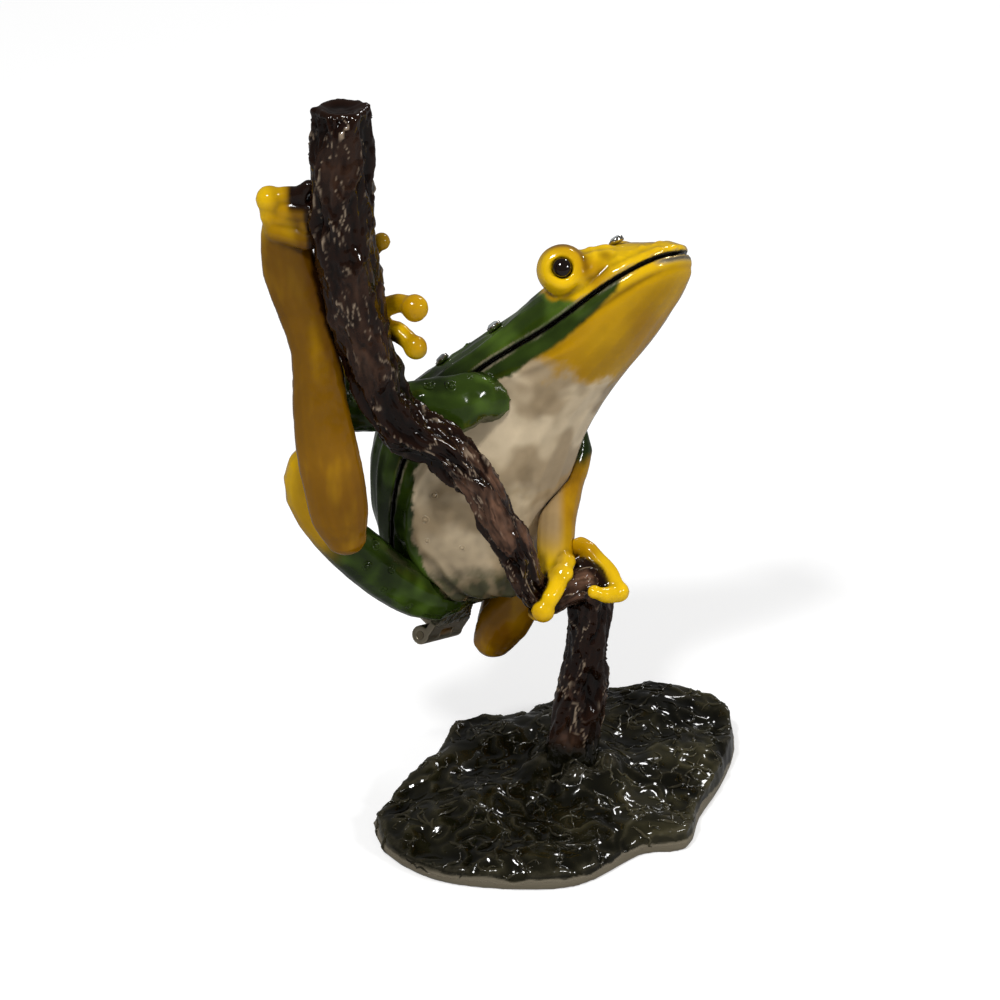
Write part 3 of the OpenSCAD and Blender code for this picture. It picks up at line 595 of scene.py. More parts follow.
def rubbed_metal():
    """Where the enamel is rubbed through to the casting, broken up by a fine noise."""
    tree, given, out = shader_group(
        "rubbed_metal",
        [("Bare", "Float"), ("Crest", "Float"), ("Rub", "Float"), ("Grain Size", "Float")],
        [("Mask", "Float")])
    fine = lumps_of(tree, given["Grain Size"], 3.0)
    worn = times(tree, times(tree, given["Crest"], given["Rub"]), fine)
    worn = calc(tree, "SMOOTH_MIN", times(tree, worn, worn), 1.0, 0.1)
    total = calc(tree, "ADD", given["Bare"], worn, clamp=True)
    tree.links.new(total, out["Mask"])
    return tree


def cast_dimples():
    """Fine unevenness of a hand-filled cast surface."""
    tree, given, out = shader_group(
        "cast_dimples", [("Dimple Size", "Float"), ("Depth", "Float")], [("Height", "Float")])
    fine = lumps_of(tree, given["Dimple Size"], 2.0)
    tree.links.new(times(tree, fine, given["Depth"]), out["Height"])
    return tree


groups = {"pool": pooled_enamel(), "rub": rubbed_metal(), "dimple": cast_dimples()}


def use_group(tree, name, inputs):
    return add(tree, "ShaderNodeGroup", inputs, node_tree=groups[name]).outputs


def blank_material(name):
    material = bpy.data.materials.new(name)
    material.use_nodes = True
    tree = material.node_tree
    return material, tree, tree.nodes["Principled BSDF"]


def attribute(tree, name, output):
    return add(tree, "ShaderNodeAttribute", attribute_name=name).outputs[output]


def enamel_material(name, cloud_size, cloud_depth, pool_depth, crest_highlight, rub, roughness, dimple):
    """Glossy enamel over pewter, coloured by the piece's own paint."""
    material, tree, surface = blank_material(name)
    groove = attribute(tree, "groove", "Fac")
    crest = attribute(tree, "crest", "Fac")
    pooled = use_group(tree, "pool", {
        "Enamel": attribute(tree, "enamel", "Color"), "Groove": groove, "Crest": crest,
        "Cloud Size": cloud_size * MM, "Cloud Depth": cloud_depth, "Pool Depth": pool_depth,
        "Crest Lift": crest_highlight})
    metal = use_group(tree, "rub", {
        "Bare": attribute(tree, "bare", "Fac"), "Crest": crest, "Rub": rub, "Grain Size": 0.7 * MM})["Mask"]
    mixed = add(tree, "ShaderNodeMix", {0: metal, 6: pooled["Colour"], 7: (*PEWTER, 1)}, data_type="RGBA")
    tree.links.new(mixed.outputs[2], surface.inputs["Base Color"])
    tree.links.new(metal, surface.inputs["Metallic"])
    rough = plus(tree, roughness, times(tree, metal, 0.2))
    tree.links.new(rough, surface.inputs["Roughness"])
    surface.inputs["Specular IOR Level"].default_value = 0.35
    height = use_group(tree, "dimple", {"Dimple Size": 1.6 * MM, "Depth": dimple})["Height"]
    bump = add(tree, "ShaderNodeBump", {"Height": height, "Strength": 1.0, "Distance": 0.1 * MM})
    tree.links.new(bump.outputs[0], surface.inputs["Normal"])
    return material


def metal_material(name, colour, rough, stain):
    """Bare metal with a soft stain in it."""
    material, tree, surface = blank_material(name)
    pooled = use_group(tree, "pool", {
        "Enamel": (*colour, 1), "Groove": 0.0, "Crest": 0.0, "Cloud Size": 1.2 * MM, "Cloud Depth": stain,
        "Pool Depth": 0.0, "Crest Lift": 0.0})
    tree.links.new(pooled["Colour"], surface.inputs["Base Color"])
    surface.inputs["Metallic"].default_value = 1.0
    surface.inputs["Roughness"].default_value = rough
    return material


def glass_material(name, colour, rough, transmission):
    material, tree, surface = blank_material(name)
    surface.inputs["Base Color"].default_value = (*colour, 1)
    surface.inputs["Roughness"].default_value = rough
    surface.inputs["Transmission Weight"].default_value = transmission
    surface.inputs["IOR"].default_value = 1.6
    return material


skin_enamel = enamel_material("skin_enamel", cloud_size=5, cloud_depth=0.5, pool_depth=0.5, crest_highlight=0.2,
                              rub=0.15, roughness=0.12, dimple=0.2)
bark_enamel = enamel_material("bark_enamel", cloud_size=4, cloud_depth=0.6, pool_depth=0.7, crest_highlight=0.3,
                              rub=0.1, roughness=0.09, dimple=0.15)
rock_enamel = enamel_material("rock_enamel", cloud_size=6, cloud_depth=0.9, pool_depth=0.6, crest_highlight=0.9,
                              rub=0.35, roughness=0.10, dimple=0.2)
hinge_pewter = metal_material("hinge_pewter", tone(168, 154, 128), rough=0.38, stain=0.9)
setting_pewter = metal_material("setting_pewter", tone(200, 196, 188), rough=0.2, stain=0.3)
magnet_nickel = metal_material("magnet_nickel", tone(200, 198, 192), rough=0.15, stain=0.05)
eye_glass = glass_material("eye_glass", tone(20, 9, 5), rough=0.05, transmission=0.0)
crystal_glass = glass_material("crystal_glass", tone(235, 242, 245), rough=0.02, transmission=0.6)


# Rock
ROCK_FOOT = np.array(BRANCH_SHARES[0][:2]) * FIGURE_HEIGHT / 100


def moss_and_sheen(places):
    """Where the moss is green, in soft patches; its rise towards +X is a painted sheen."""
    patches = step(cloud(places, 8, 5, 3), -0.25, 0.45)
    return patches * (0.4 + 0.6 * step(places[:, 0] / MM, -2, 12))


def make_rock():
    rock = cast_copy("rock", ["rock_base"], grain=0.30, easing=4)
    places = read_places(rock.data)
    upward = read_normals(rock.data)[:, 2]
    mm = places / MM
    top = step(upward, 0.0, 0.6) * step(mm[:, 2], 1.2, 2.4)
    clods = cloud(places, 8, 1, 2) * 0.6
    folds = 1 - np.abs(cloud(places, 4.2, 2, 2)) * 3.6
    pits = np.minimum(cloud(places, 2.4, 3, 1), 0) * 0.5
    from_foot = mm[:, :2] - ROCK_FOOT
    away = np.hypot(from_foot[:, 0], from_foot[:, 1])
    turn = np.arctan2(from_foot[:, 1], from_foot[:, 0])
    roots = step(away, 7.5, 3.2) * (1.5 + 0.7 * np.cos(5 * turn + 1))
    relief = top * (clods + 0.25 * np.maximum(folds, 0) + pits + roots)
    side = step(upward, 0.35, 0.0) * step(mm[:, 2], 0.4, 1.2)
    relief += side * (cloud(places, 2.6, 4, 2) * 0.25 + 0.25 * step(mm[:, 0], -8, -16) - 0.1)
    raise_skin(rock, relief)
    places = read_places(rock.data)
    mm = places / MM
    green = moss_and_sheen(places) * 0.75 * step(away, 4, 9)
    rim = 1.3 + 0.5 * cloud(places, 5, 6, 3) + 0.9 * step(mm[:, 0], -12, -20)
    bare = step(mm[:, 2], rim + 0.25, rim - 0.1) * step(upward, 0.6, 0.35) * 0.92
    paint(rock, blend(MOSS_BLACK, MOSS_GREEN, green), bare)
    return fitted(rock, rock_enamel, "box", ["rock_base"])


# Moss: the piece's name, strands to a square metre, length, thickness and curl in millimetres, and seed
MOSS_KINDS = [("moss_thick", 90000, 3.2, 0.20, 3.2, 3), ("moss_thin", 130000, 2.4, 0.13, 2.8, 11)]


def make_moss(rock):
    """Strands of moss on the rock, in a thick and a thin kind."""
    tree = strand_tree()
    for name, density, length, thickness, curl, seed in MOSS_KINDS:
        moss = new_piece(name, rock.data.copy())
        grown(moss, tree, Density=float(density), Length=length * MM, Thickness=thickness * MM,
              Curl=curl * MM, Seed=seed, Finish=rock_enamel)
        for layer in ("enamel", "bare", "groove", "crest"):
            if layer in moss.data.attributes:
                moss.data.attributes.remove(moss.data.attributes[layer])
        places = read_places(moss.data)
        # Written back because this keeps the strands inside the object's size
        write_places(moss.data, places)
        paint(moss, blend(MOSS_BLACK, MOSS_GREEN, moss_and_sheen(places) * 0.8))
        fitted(moss, rock_enamel, "box")


# Branch
branch_line = smooth_rows(BRANCH_SHARES, 24) * np.array([FIGURE_HEIGHT / 100] * 3 + [BRANCH_THICK / 2])


def off_branch(places):
    """Distance from the branch's surface, in millimetres."""
    line = branch_line[::3]
    gaps = np.linalg.norm(places[:, None, :] / MM - line[None, :, :3], axis=2) - line[None, :, 3]
    return gaps.min(1)


# Steps over the rounded rim, and the rings of the flat cut end inside it as shares of its half width
RIM_STEPS = 8
END_RINGS = (0.86, 0.72, 0.58, 0.44, 0.30, 0.16, 0.03)


def rounded_end(last, rounding):
    """Rows that carry the sweep over the rounded rim of the cut end, to its middle."""
    across, deep, high, half = last
    rows = []
    for k in range(1, RIM_STEPS + 1):
        turn = math.pi / 2 * k / RIM_STEPS
        rows.append((across, deep, high + rounding * math.sin(turn), half - rounding * (1 - math.cos(turn))))
    flat = rows[-1]
    for share in END_RINGS:
        rows.append((across, deep, flat[2] + 0.02 * (1 - share), flat[3] * share))
    return rows


def point_values(mesh, name):
    values = np.empty(len(mesh.vertices), np.float32)
    mesh.attributes[name].data.foreach_get("value", values)
    return values


# The bark's measures in millimetres, by the names of the tree's inputs
BARK_SIDES = 112
BARK = {"Girth": 3.0, "Chip_Length": 9.0, "Chip_Width": 3.0, "Chip_Depth": 1.0, "Ridge_Height": 0.12,
        "Groove_Depth": 0.9, "Ripple_Depth": 0.3, "Fibre_Height": 0.16}


def make_branch():
    mesh = bpy.data.meshes.new("branch_line")
    line = np.vstack([branch_line, rounded_end(branch_line[-1], BRANCH_END_ROUNDING)])
    mesh.from_pydata([Vector(row[:3] * MM) for row in line], [(k, k + 1) for k in range(len(line) - 1)], [])
    rim_turn = np.clip((np.arange(len(line)) - len(branch_line) + 1) / RIM_STEPS, 0, 1) * math.pi / 2
    put_values(mesh, "half", line[:, 3] * MM)
    put_values(mesh, "carving", np.cos(rim_turn))
    branch = new_piece("branch_bark", mesh)
    grown(branch, branch_tree(), Sides=BARK_SIDES, Finish=bark_enamel,
          **{name: size * MM for name, size in BARK.items()})
    places = read_places(branch.data)
    end = branch_line[-1]
    off_axis = np.hypot(places[:, 0] / MM - end[0], places[:, 1] / MM - end[1])
    dent = 0.5 * step(off_axis, 2.6, 0.8) * step(places[:, 2] / MM, end[2], end[2] + 0.6)
    places[:, 2] -= dent * MM
    write_places(branch.data, places)
    height = places[:, 2] / MM
    level, ridge, bowl, fibre = (point_values(branch.data, name)
                                 for name in ("chip_level", "chip_ridge", "chip_bowl", "fibre"))
    # Chips at mid height, from about 31 to 56 mm, are paler mauve, partly the bark's own colour and partly a
    # painted highlight.
    pale = step(height, 56, 46) * step(height, 31, 34)
    thin = step(level, 0.28 + 0.3 * pale, 0.12 + 0.25 * pale) * (0.25 + 0.55 * bowl)
    thin = thin * step(cloud(places * np.array([2.0, 2.0, 0.7]), 4, 9, 3), -0.6, 0.3)
    thin = thin * (1 - 0.45 * step(height, 52, 60))
    # Tan on the fibres and along the chip ridges is partly worn enamel and partly a painted highlight.
    worn = step(cloud(places, 5, 8, 2), -0.2, 0.25)
    ridge_tan_and_highlight = step(ridge, 0.78, 1.0) * step(cloud(places, 3, 10, 2), 0.1, 0.5)
    paint(branch, layered(
        BROWN, (MAUVE, thin), (MAUVE * 1.8, thin * pale),
        # Painted shade: the deepest chip bowls are darkened.
        (BROWN * 0.35, step(level, 0.5, 0.8) * bowl * 0.8), (TAN * 0.5, fibre * worn * 0.55),
        (TAN * 0.6, ridge_tan_and_highlight * 0.4), (MOSS_BLACK, step(height, 11, 8.5))))
    fitted(branch, bark_enamel, "box", ["branch"])


# Frog's shells
def eye_place(side):
    ahead, left, up = np.array(EYE_SHARES) * FROG_LENGTH
    return from_frog(ahead, side * left, up)


def eye_facing(side):
    """The way an eye looks, in the scene's frame."""
    out = math.sin(EYE_TURN)
    look = [out * math.sin(EYE_YAW), side * out * math.cos(EYE_YAW), math.cos(EYE_TURN)]
    return np.array(look) @ frog_turn


def eye_frame(places, side):
    """The way from an eye to each place, its length, and its parts along and off the eye's axis."""
    away = (places - eye_place(side)) / MM
    reach = np.linalg.norm(away, axis=1)
    out = away @ eye_facing(side)
    return away, reach, out, np.sqrt(np.maximum(reach ** 2 - out ** 2, 0))


def nostril_gap(frog, high, side):
    """Distance from a nostril, in millimetres."""
    ahead, left, above = NOSTRIL
    return np.linalg.norm(np.stack([frog[:, 0] - ahead, frog[:, 1] - side * left, high - above], 1), axis=1)


def skin_folds(frog, high):
    """Folds that run along the body beside the back."""
    wander = 0.5 * np.sin(frog[:, 0] / 4.1) + 0.3 * np.sin(frog[:, 0] / 1.9 + 1.3)
    return hump(high + wander, 2.9, 0.42) + 0.8 * hump(high + wander * 0.7, 5.1, 0.5)


def brow_webs():
    """Fills the creases between the eye bulges and the head, on both sides."""
    webs = []
    for side in SIDES:
        behind = from_frog(47.5, side * 6.3, 7.6) / MM
        below = from_frog(50.5, side * 6.7, 7.6) / MM
        ahead = from_frog(53.2, side * 5.0, 6.2) / MM
        brow = from_frog(51.3, side * 5.4, 8.7) / MM
        crown = from_frog(53.4, side * 4.0, 7.3) / MM
        webs += [(behind, below, 2.2, 2.5), (below, ahead, 2.5, 1.9), (brow, crown, 1.8, 1.6)]
    return webs


def shell_skin(name, node_name, grain, easing, webs=()):
    """A shell's skin, its places in the scene and in the frog's frame, their height above the seam, and
    which of them lie outside."""
    shell = cast_copy(name, [node_name], grain, easing, webs)
    places = read_places(shell.data)
    frog = in_frog(places)
    high = above_seam(frog)
    facing = read_normals(shell.data) @ frog_turn.T
    return shell, places, frog, high, outward(frog, high, facing)


def make_lid():
    lid, places, frog, high, outer = shell_skin("lid_skin", "back_shell", 0.26, 6, brow_webs())
    ahead = frog[:, 0]
    clear = outer * step(high, *SEAM_CLEAR)
    body = clear * step(ahead, 6, 12) * step(ahead, 46, 40)
    relief = 0.26 * body * skin_folds(frog, high)
    relief += clear * 0.06 * cloud(places, 2.6, 12, 2)
    eyes = [eye_frame(places, side) for side in SIDES]
    shown = np.maximum(step(np.abs(frog[:, 1]), 6.4, 6.9), step(frog[:, 2], 8.6, 9.2))
    for away, reach, out, ring in eyes:
        outer = np.maximum(outer, step(reach, 4.6, 4.2) * shown)
    eye_mask = np.zeros(len(places))
    for side, (away, reach, out, ring) in zip(SIDES, eyes):
        on_bulge = step(reach, 4.4, 3.7) * step(out, 0.0, 0.8)
        relief += 0.24 * on_bulge * hump(ring, 2.15, 0.5)
        eye_mask = np.maximum(eye_mask, step(reach, 4.6, 3.4) * step(high, 1.4, 2.6))
        lid_fold = hump(reach, 4.35, 0.35) * step(ahead, 51.0, 52.5) * step(high, 1.2, 2.0)
        relief += 0.12 * clear * lid_fold * step(side * frog[:, 1], 1.0, 3.0)
        relief -= NOSTRIL_DEPTH * outer * hump(nostril_gap(frog, high, side), 0, NOSTRIL_RADIUS)
    lip = outer * step(ahead, 44, 49)
    relief += 0.10 * lip * hump(high, 0.9, 0.4) - 0.10 * lip * hump(high, 1.75, 0.35)
    speckle = step(ahead, 52.5, 54) * step(high, 3.2, 2.4) * clear
    relief += speckle * 0.22 * np.maximum(cloud(places, 0.9, 14, 1), 0)
    raise_skin(lid, relief)
    yellow = step(ahead + 0.7 * high + 0.7 * cloud(places, 3, 13, 2), 47.6, 49.6)
    yellow = np.maximum(yellow, eye_mask * step(ahead, 43, 46))
    full_yellow = step(yellow, 0.3, 1)
    colours = layered(
        GREEN, (LEAF, step(cloud(places, 5, 15, 2), -0.1, 0.6) * 0.6),
        (DEEP_GREEN, step(cloud(places, 4, 16, 2), -0.1, 0.55) * 0.7), (LEAF, step(yellow, 0, 0.4) * 0.8),
        (OCHRE, full_yellow), (YELLOW, full_yellow * step(cloud(places, 6, 17, 2), -0.7, 0.2)))
    for side, (away, reach, out, ring) in zip(SIDES, eyes):
        ahead_of_ring = away @ (frog_ahead * 0.9 - eye_facing(side) * 0.1)
        shadow = hump(ring, 2.75, 0.5) * step(ahead_of_ring, 0.6, 2.0) * step(out, 0, 1)
        colours = layered(
            colours, (UMBER, outer * step(nostril_gap(frog, high, side), 1.3, 0.4) * 0.7),
            (MOUTH_BLACK, step(ring, 1.28, 1.2) * step(out, 1.5, 2.0)), (AMBER, shadow * 0.8))
    colours = blend(colours, MOUTH_BLACK, step(high, *SEAM_BLACK))
    edge_line = hump(high, 0.52, 0.09) * outer * step(cloud(places, 5, 18, 2), -0.1, 0.5) * 0.6
    paint(lid, colours, np.maximum(1 - outer, edge_line) * step(high, *SEAM_BARE))
    return fitted(lid, skin_enamel, "lid", ["back_shell"])


# The green on the box under the seam: how far down it reaches along the frog, both in millimetres
GREEN_STRIP_AHEAD = [4, 9, 12, 18, 30, 37, 45, 52, 54]
GREEN_STRIP_REACH = [9, 6, 3.4, 2.3, 2.7, 2.9, 2.4, 1.6, 0]


def make_box():
    box, places, frog, high, outer = shell_skin("box_skin", "belly_shell", 0.28, 5)
    low = -high
    clear = outer * step(low, *SEAM_CLEAR)
    ahead = frog[:, 0]
    relief = clear * 0.09 * cloud(places, 4, 21, 2)
    relief += clear * step(ahead, 30, 20) * 0.14 * cloud(places, 2.4, 19, 2)
    lip = outer * step(ahead, 45, 50)
    relief += (0.16 * hump(low, 0.95, 0.5) - 0.22 * hump(low, 1.95, 0.38)) * lip * step(ahead, 58.5, 55)
    rump = clear * step(ahead, 14, 8)
    relief += rump * 0.30 * np.sin(ahead * 2.3 + low * 0.9 + cloud(places, 5, 22, 2) * 2)
    cheek = clear * hump(low, 3.0 + 0.6 * np.sin(ahead / 3), 0.45) * step(ahead, 46, 40) * step(ahead, 6, 12)
    relief += 0.22 * cheek
    raise_skin(box, relief)
    ragged = cloud(places, 2.6, 23, 4)
    rump_paint = np.maximum(step(ahead, 8, 5), step(places[:, 2] / MM + ragged, 33, 30.5)) * step(low, 1, 3)
    mottled = blend(DEEP_GREEN * 1.5, FAWN * 0.7, step(cloud(places, 1.6, 30, 2), 0, 0.5) * 0.6)
    throat = step(ahead + 1.6 * ragged + 0.15 * np.abs(frog[:, 1]), 39.4, 42.4)
    strip = np.interp(ahead, GREEN_STRIP_AHEAD, GREEN_STRIP_REACH)
    waves = 0.2 + 0.7 * step(ahead, 42, 34)
    green = layered(GREEN, (LEAF, step(cloud(places, 5, 28, 2), 0.0, 0.7) * 0.6),
                    (DEEP_GREEN, step(cloud(places, 5, 27, 2), -0.4, 0.5) * 0.8))
    colours = layered(
        CREAM, (FAWN, step(cloud(places, 9, 24, 3), -0.2, 0.25) * 0.75),
        (FAWN * 0.7, step(cloud(places, 6, 25, 3), 0.2, 0.9) * 0.6),
        # Painted shade: fawn darkens the lower belly on the frog's right.
        (FAWN * 0.75, step(ahead, 24, 11) * step(frog[:, 1], 6, -4) * 0.6),
        (mottled, rump_paint * 0.85), (OCHRE, throat),
        (YELLOW, throat * step(cloud(places, 8, 26, 2), -0.4, 0.8) * 0.35),
        # Painted shade: amber darkens the throat on both sides of its middle.
        (AMBER, throat * hump(np.abs(frog[:, 1]), 3.5, 3.5) * step(low, 2, 4) * 0.4),
        (YELLOW, lip * step(low, 1.9, 1.2) * 0.7), (green, step(strip - low + waves * ragged, -0.25, 0.35)),
        (MOUTH_BLACK, step(low, *SEAM_BLACK)))
    edge_line = hump(low, 0.52, 0.10) * outer * step(cloud(places, 5, 29, 2), -0.2, 0.4) * 0.7
    inner_lip = hump(low, 0.75, 0.35) * step(ahead, 56.6, 57.8)
    bare = np.maximum(np.maximum(1 - outer, edge_line), inner_lip) * step(low, *SEAM_BARE)
    paint(box, colours, bare)
    return fitted(box, skin_enamel, "box", ["belly_shell"])


# Limbs
def limb_piece(name, node_name, webs, colour_at, rough):
    """A limb's skin, with its relief and its colours given by the place."""
    limb = cast_copy(name, [node_name], grain=0.24, easing=5, webs=webs)
    places = read_places(limb.data)
    skinny = step(off_branch(places), 0.3, 1.2)
    relief = rough * (cloud(places, 3.2, 31, 2) + 0.5 * cloud(places, 1.4, 32, 2))
    raise_skin(limb, relief * (0.4 + 0.6 * skinny))
    places = read_places(limb.data)
    colours = colour_at(places / MM, places)
    brown = step(off_branch(places) + 0.2 * cloud(places, 1.5, 33, 2), 0.85, 0.4)
    paint(limb, blend(colours, BROWN, brown * 0.95))
    return fitted(limb, skin_enamel, "box", [node_name])


def greens(places):
    return layered(GREEN, (LEAF, step(cloud(places, 4, 41, 2), -0.1, 0.7) * 0.7),
                   (DEEP_GREEN, step(cloud(places, 5, 42, 2), -0.3, 0.6) * 0.75))


def yellows(places):
    """Bright yellow, as on the head and the hands."""
    return layered(OCHRE, (YELLOW, step(cloud(places, 7, 43, 2), -0.7, 0.3)),
                   (AMBER, step(cloud(places, 7, 44, 2), 0.1, 0.9) * 0.4))


def ambers(places):
    """The deeper yellow of the hind legs, thick and streaked along them."""
    streak = cloud(places * np.array([2.2, 2.2, 0.6]), 6, 47, 3)
    return layered(AMBER, (OCHRE, step(streak, -0.1, 0.9) * 0.5),
                   (UMBER, step(cloud(places, 8, 48, 2), -0.1, 0.8) * 0.35))


def right_arm_colours(mm, places):
    hand = step(mm[:, 2] - 0.4 * (mm[:, 0] + 25), 58.5, 61.5)
    return blend(greens(places), yellows(places), hand)


def left_arm_colours(mm, places):
    lower = step(mm[:, 2] + 0.5 * cloud(places, 2, 45, 2), 42.5, 40.5)
    panel = step(mm[:, 0], 1.6, 0.2) * step(mm[:, 2], 34.5, 38) * lower
    deep = blend(yellows(places), AMBER * 1.2, step(mm[:, 2], 34, 38) * 0.7)
    return layered(greens(places), (deep, lower), (FAWN * 1.1, panel * 0.85))


def right_leg_colours(mm, places):
    """The foot and all its toes are yellow, and so is the knee; the thigh is green towards the rump."""
    foot = step(mm[:, 1] + (mm[:, 0] + 28) * 0.2, -6.0, -7.6) * step(mm[:, 2], 38, 40)
    knee = step(mm[:, 0] + 0.5 * cloud(places, 3, 46, 2), -24.6, -28.0) * step(mm[:, 2], 34, 40)
    yellow = np.maximum(np.maximum(foot, knee), step(mm[:, 2], 54, 58))
    bright = np.maximum(step(mm[:, 2], 77.5, 82), knee * (1 - foot) * 0.6)
    bright = np.maximum(bright, step(mm[:, 0], -24, -22.5) * step(mm[:, 2], 62, 66))
    foot_shade = 1 - 0.25 * step(mm[:, 2], 50, 62)
    deep = blend(ambers(places) * foot_shade[:, None], yellows(places), bright)
    bridge = step(mm[:, 0], -30.8, -30.2) * step(mm[:, 2], 82, 83)
    # Painted shade: umber darkens the side of the foot that faces the branch.
    branch_side_shade = step(mm[:, 0] + 0.2 * (mm[:, 2] - 70), -28.6, -27.4) * step(mm[:, 2], 58, 66)
    return layered(greens(places), (deep, yellow), (UMBER, branch_side_shade * 0.7), (BROWN, bridge))


# Tapered webs that close small gaps in the feet: start, end and both radii, in millimetres
RIGHT_FOOT_WEBS = [
    ((-32.0, -7.9, 79.6), (-28.4, -8.8, 78.8), 1.5, 1.3),
    ((-31.0, -7.9, 82.2), (-28.4, -8.5, 82.2), 1.3, 1.3),
    ((-29.7, -8.3, 84.0), (-28.2, -8.8, 85.3), 0.95, 0.8),
]
# The block of bark beside the left foot, in the same form, and the line of the toe next to it
BARK_BLOCK = ((3.4, -2.2, 33.4), (6.2, -3.2, 31.6), 1.5, 1.3)
LEFT_TOE = ((3.2, 0.2, 35.3), (5.1, -1.5, 34.4), (6.8, -2.9, 32.9), (7.8, -4.0, 31.2))


def gap_to_line(mm, line):
    """Distance from a line through some points, in millimetres."""
    gaps = []
    for a, b in zip(np.array(line[:-1]), np.array(line[1:])):
        share = np.clip((mm - a) @ (b - a) / ((b - a) @ (b - a)), 0, 1)
        gaps.append(np.linalg.norm(mm - a - share[:, None] * (b - a), axis=1))
    return np.min(gaps, axis=0)


def left_leg_colours(mm, places):
    """The leg is green down to the shin, and the heel, the foot and the toes are yellow."""
    shin = np.maximum(step(mm[:, 2] + 0.1 * mm[:, 1], 30.5, 28.5), step(mm[:, 1], 9, 7))
    deep = blend(ambers(places), yellows(places), step(mm[:, 2] + 0.6 * mm[:, 0], 27, 31))
    tint = hump(np.linalg.norm(mm - np.array([-5.5, 2.2, 21.0]), axis=1), 0, 2.2)
    to_block = gap_to_line(mm, BARK_BLOCK[:2])
    block = step(gap_to_line(mm, LEFT_TOE) - to_block, -0.3, 0.1) * step(to_block, 2.4, 1.9)
    return layered(greens(places), (deep, shin), (UMBER, tint * 0.8), (BROWN, block))


# Warts, eyes and crystals
def point_piece(name, spots):
    """A piece of bare points, each a place, a facing and a size, for a tree to set forms on."""
    places, facings, sizes = zip(*spots)
    mesh = bpy.data.meshes.new(name)
    mesh.from_pydata([Vector(place) for place in places], [], [])
    put_values(mesh, "facing", facings, "FLOAT_VECTOR", "vector")
    put_values(mesh, "size", sizes)
    return new_piece(name, mesh)


def lathed(name, profile, sides):
    """A round form from its outline of (radius, height) in millimetres, from the rim up to the middle."""
    form = bmesh.new()
    rings = []
    for radius, height in profile:
        turns = [2 * math.pi * k / sides for k in range(sides)]
        rings.append([form.verts.new((radius * math.cos(t) * MM, radius * math.sin(t) * MM, height * MM))
                      for t in turns])
    for below, above in zip(rings, rings[1:]):
        for k in range(sides):
            j = (k + 1) % sides
            form.faces.new((below[k], below[j], above[j], above[k]))
    form.faces.new(rings[-1])
    form.faces.new(rings[0][::-1])
    mesh = bpy.data.meshes.new(name)
    form.to_mesh(mesh)
    form.free()
    return new_piece(name, mesh)


def surface_tree(*pieces):
    """A tree of the pieces' surfaces, to find the nearest one or what a ray meets."""
    verts, faces = [], []
    for piece in pieces:
        start = len(verts)
        verts += [v.co.copy() for v in piece.data.vertices]
        faces += [[start + k for k in f.vertices] for f in piece.data.polygons]
    return BVHTree.FromPolygons(verts, faces)


def seen_at(surfaces, across, down):
    """The place and facing that the camera sees at a pixel of the photograph."""
    focal = CAMERA_LENS / SENSOR_WIDTH * PICTURE_SIZE
    half = PICTURE_SIZE / 2
    look = Vector(((across - half) / focal, -(down - half) / focal, -1))
    ray = Matrix.Rotation(CAMERA_TILT, 3, "X") @ look
    place, facing, _, _ = surfaces.ray_cast(CAMERA_PLACE, ray.normalized())
    return place, facing


# A ring wart of radius 1: a raised ring round a groove, with a knob in the middle
WART_OUTLINE = [(1.25, -0.2), (1.0, 0.0), (0.86, 0.13), (0.7, 0.1), (0.6, -0.08), (0.52, 0.0), (0.38, 0.24),
                (0.2, 0.34), (0.06, 0.36)]

# Ring warts by the pixel where the photograph shows them, with their radius in millimetres
ARM_WARTS = [(429, 384, 0.75), (451, 386, 0.7), (489, 379, 0.45), (470, 377, 0.4)]
LEG_WARTS = [(376, 545, 0.65), (367, 566, 0.55), (392, 569, 0.5), (383, 590, 0.45), (410, 606, 0.45)]
BELLY_WARTS = [(434, 495, 0.55), (425, 520, 0.6), (462, 548, 0.45), (427, 541, 0.4)]

# Ring warts on the sides that the photograph doesn't show, ahead and left in the frog's frame
BACK_WARTS = [(16, 3, 0.7), (21, -4, 0.6), (26, 5, 0.65), (31, -2, 0.55), (36, 4, 0.5), (13, -3, 0.55),
              (24, 0.5, 0.5), (29, 8, 0.5), (19, 8, 0.55), (34, -6, 0.5)]


def nearest_paint(piece, skins):
    """Paints a piece with the enamel of the nearest skin under it."""
    total = sum(len(skin.data.vertices) for skin in skins)
    finder = KDTree(total)
    shades = np.empty((total, 4), np.float32)
    start = 0
    for skin in skins:
        size = len(skin.data.vertices)
        layer = np.empty(size * 4, np.float32)
        skin.data.attributes["enamel"].data.foreach_get("color", layer)
        shades[start:start + size] = layer.reshape(-1, 4)
        for k, place in enumerate(read_places(skin.data)):
            finder.insert(Vector(place), start + k)
        start += size
    finder.balance()
    picks = [finder.find(v.co)[1] for v in piece.data.vertices]
    paint(piece, shades[picks][:, :3])


def make_warts(name, body, spots, skins, form, tree):
    warts = point_piece(name, spots)
    grown(warts, tree, Form=form, Finish=skin_enamel)
    nearest_paint(warts, skins)
    fitted(warts, skin_enamel, body)


def spots_seen(surfaces, listed):
    spots = []
    for across, down, size in listed:
        place, facing = seen_at(surfaces, across, down)
        if place is not None:
            spots.append((place, facing, size))
    return spots


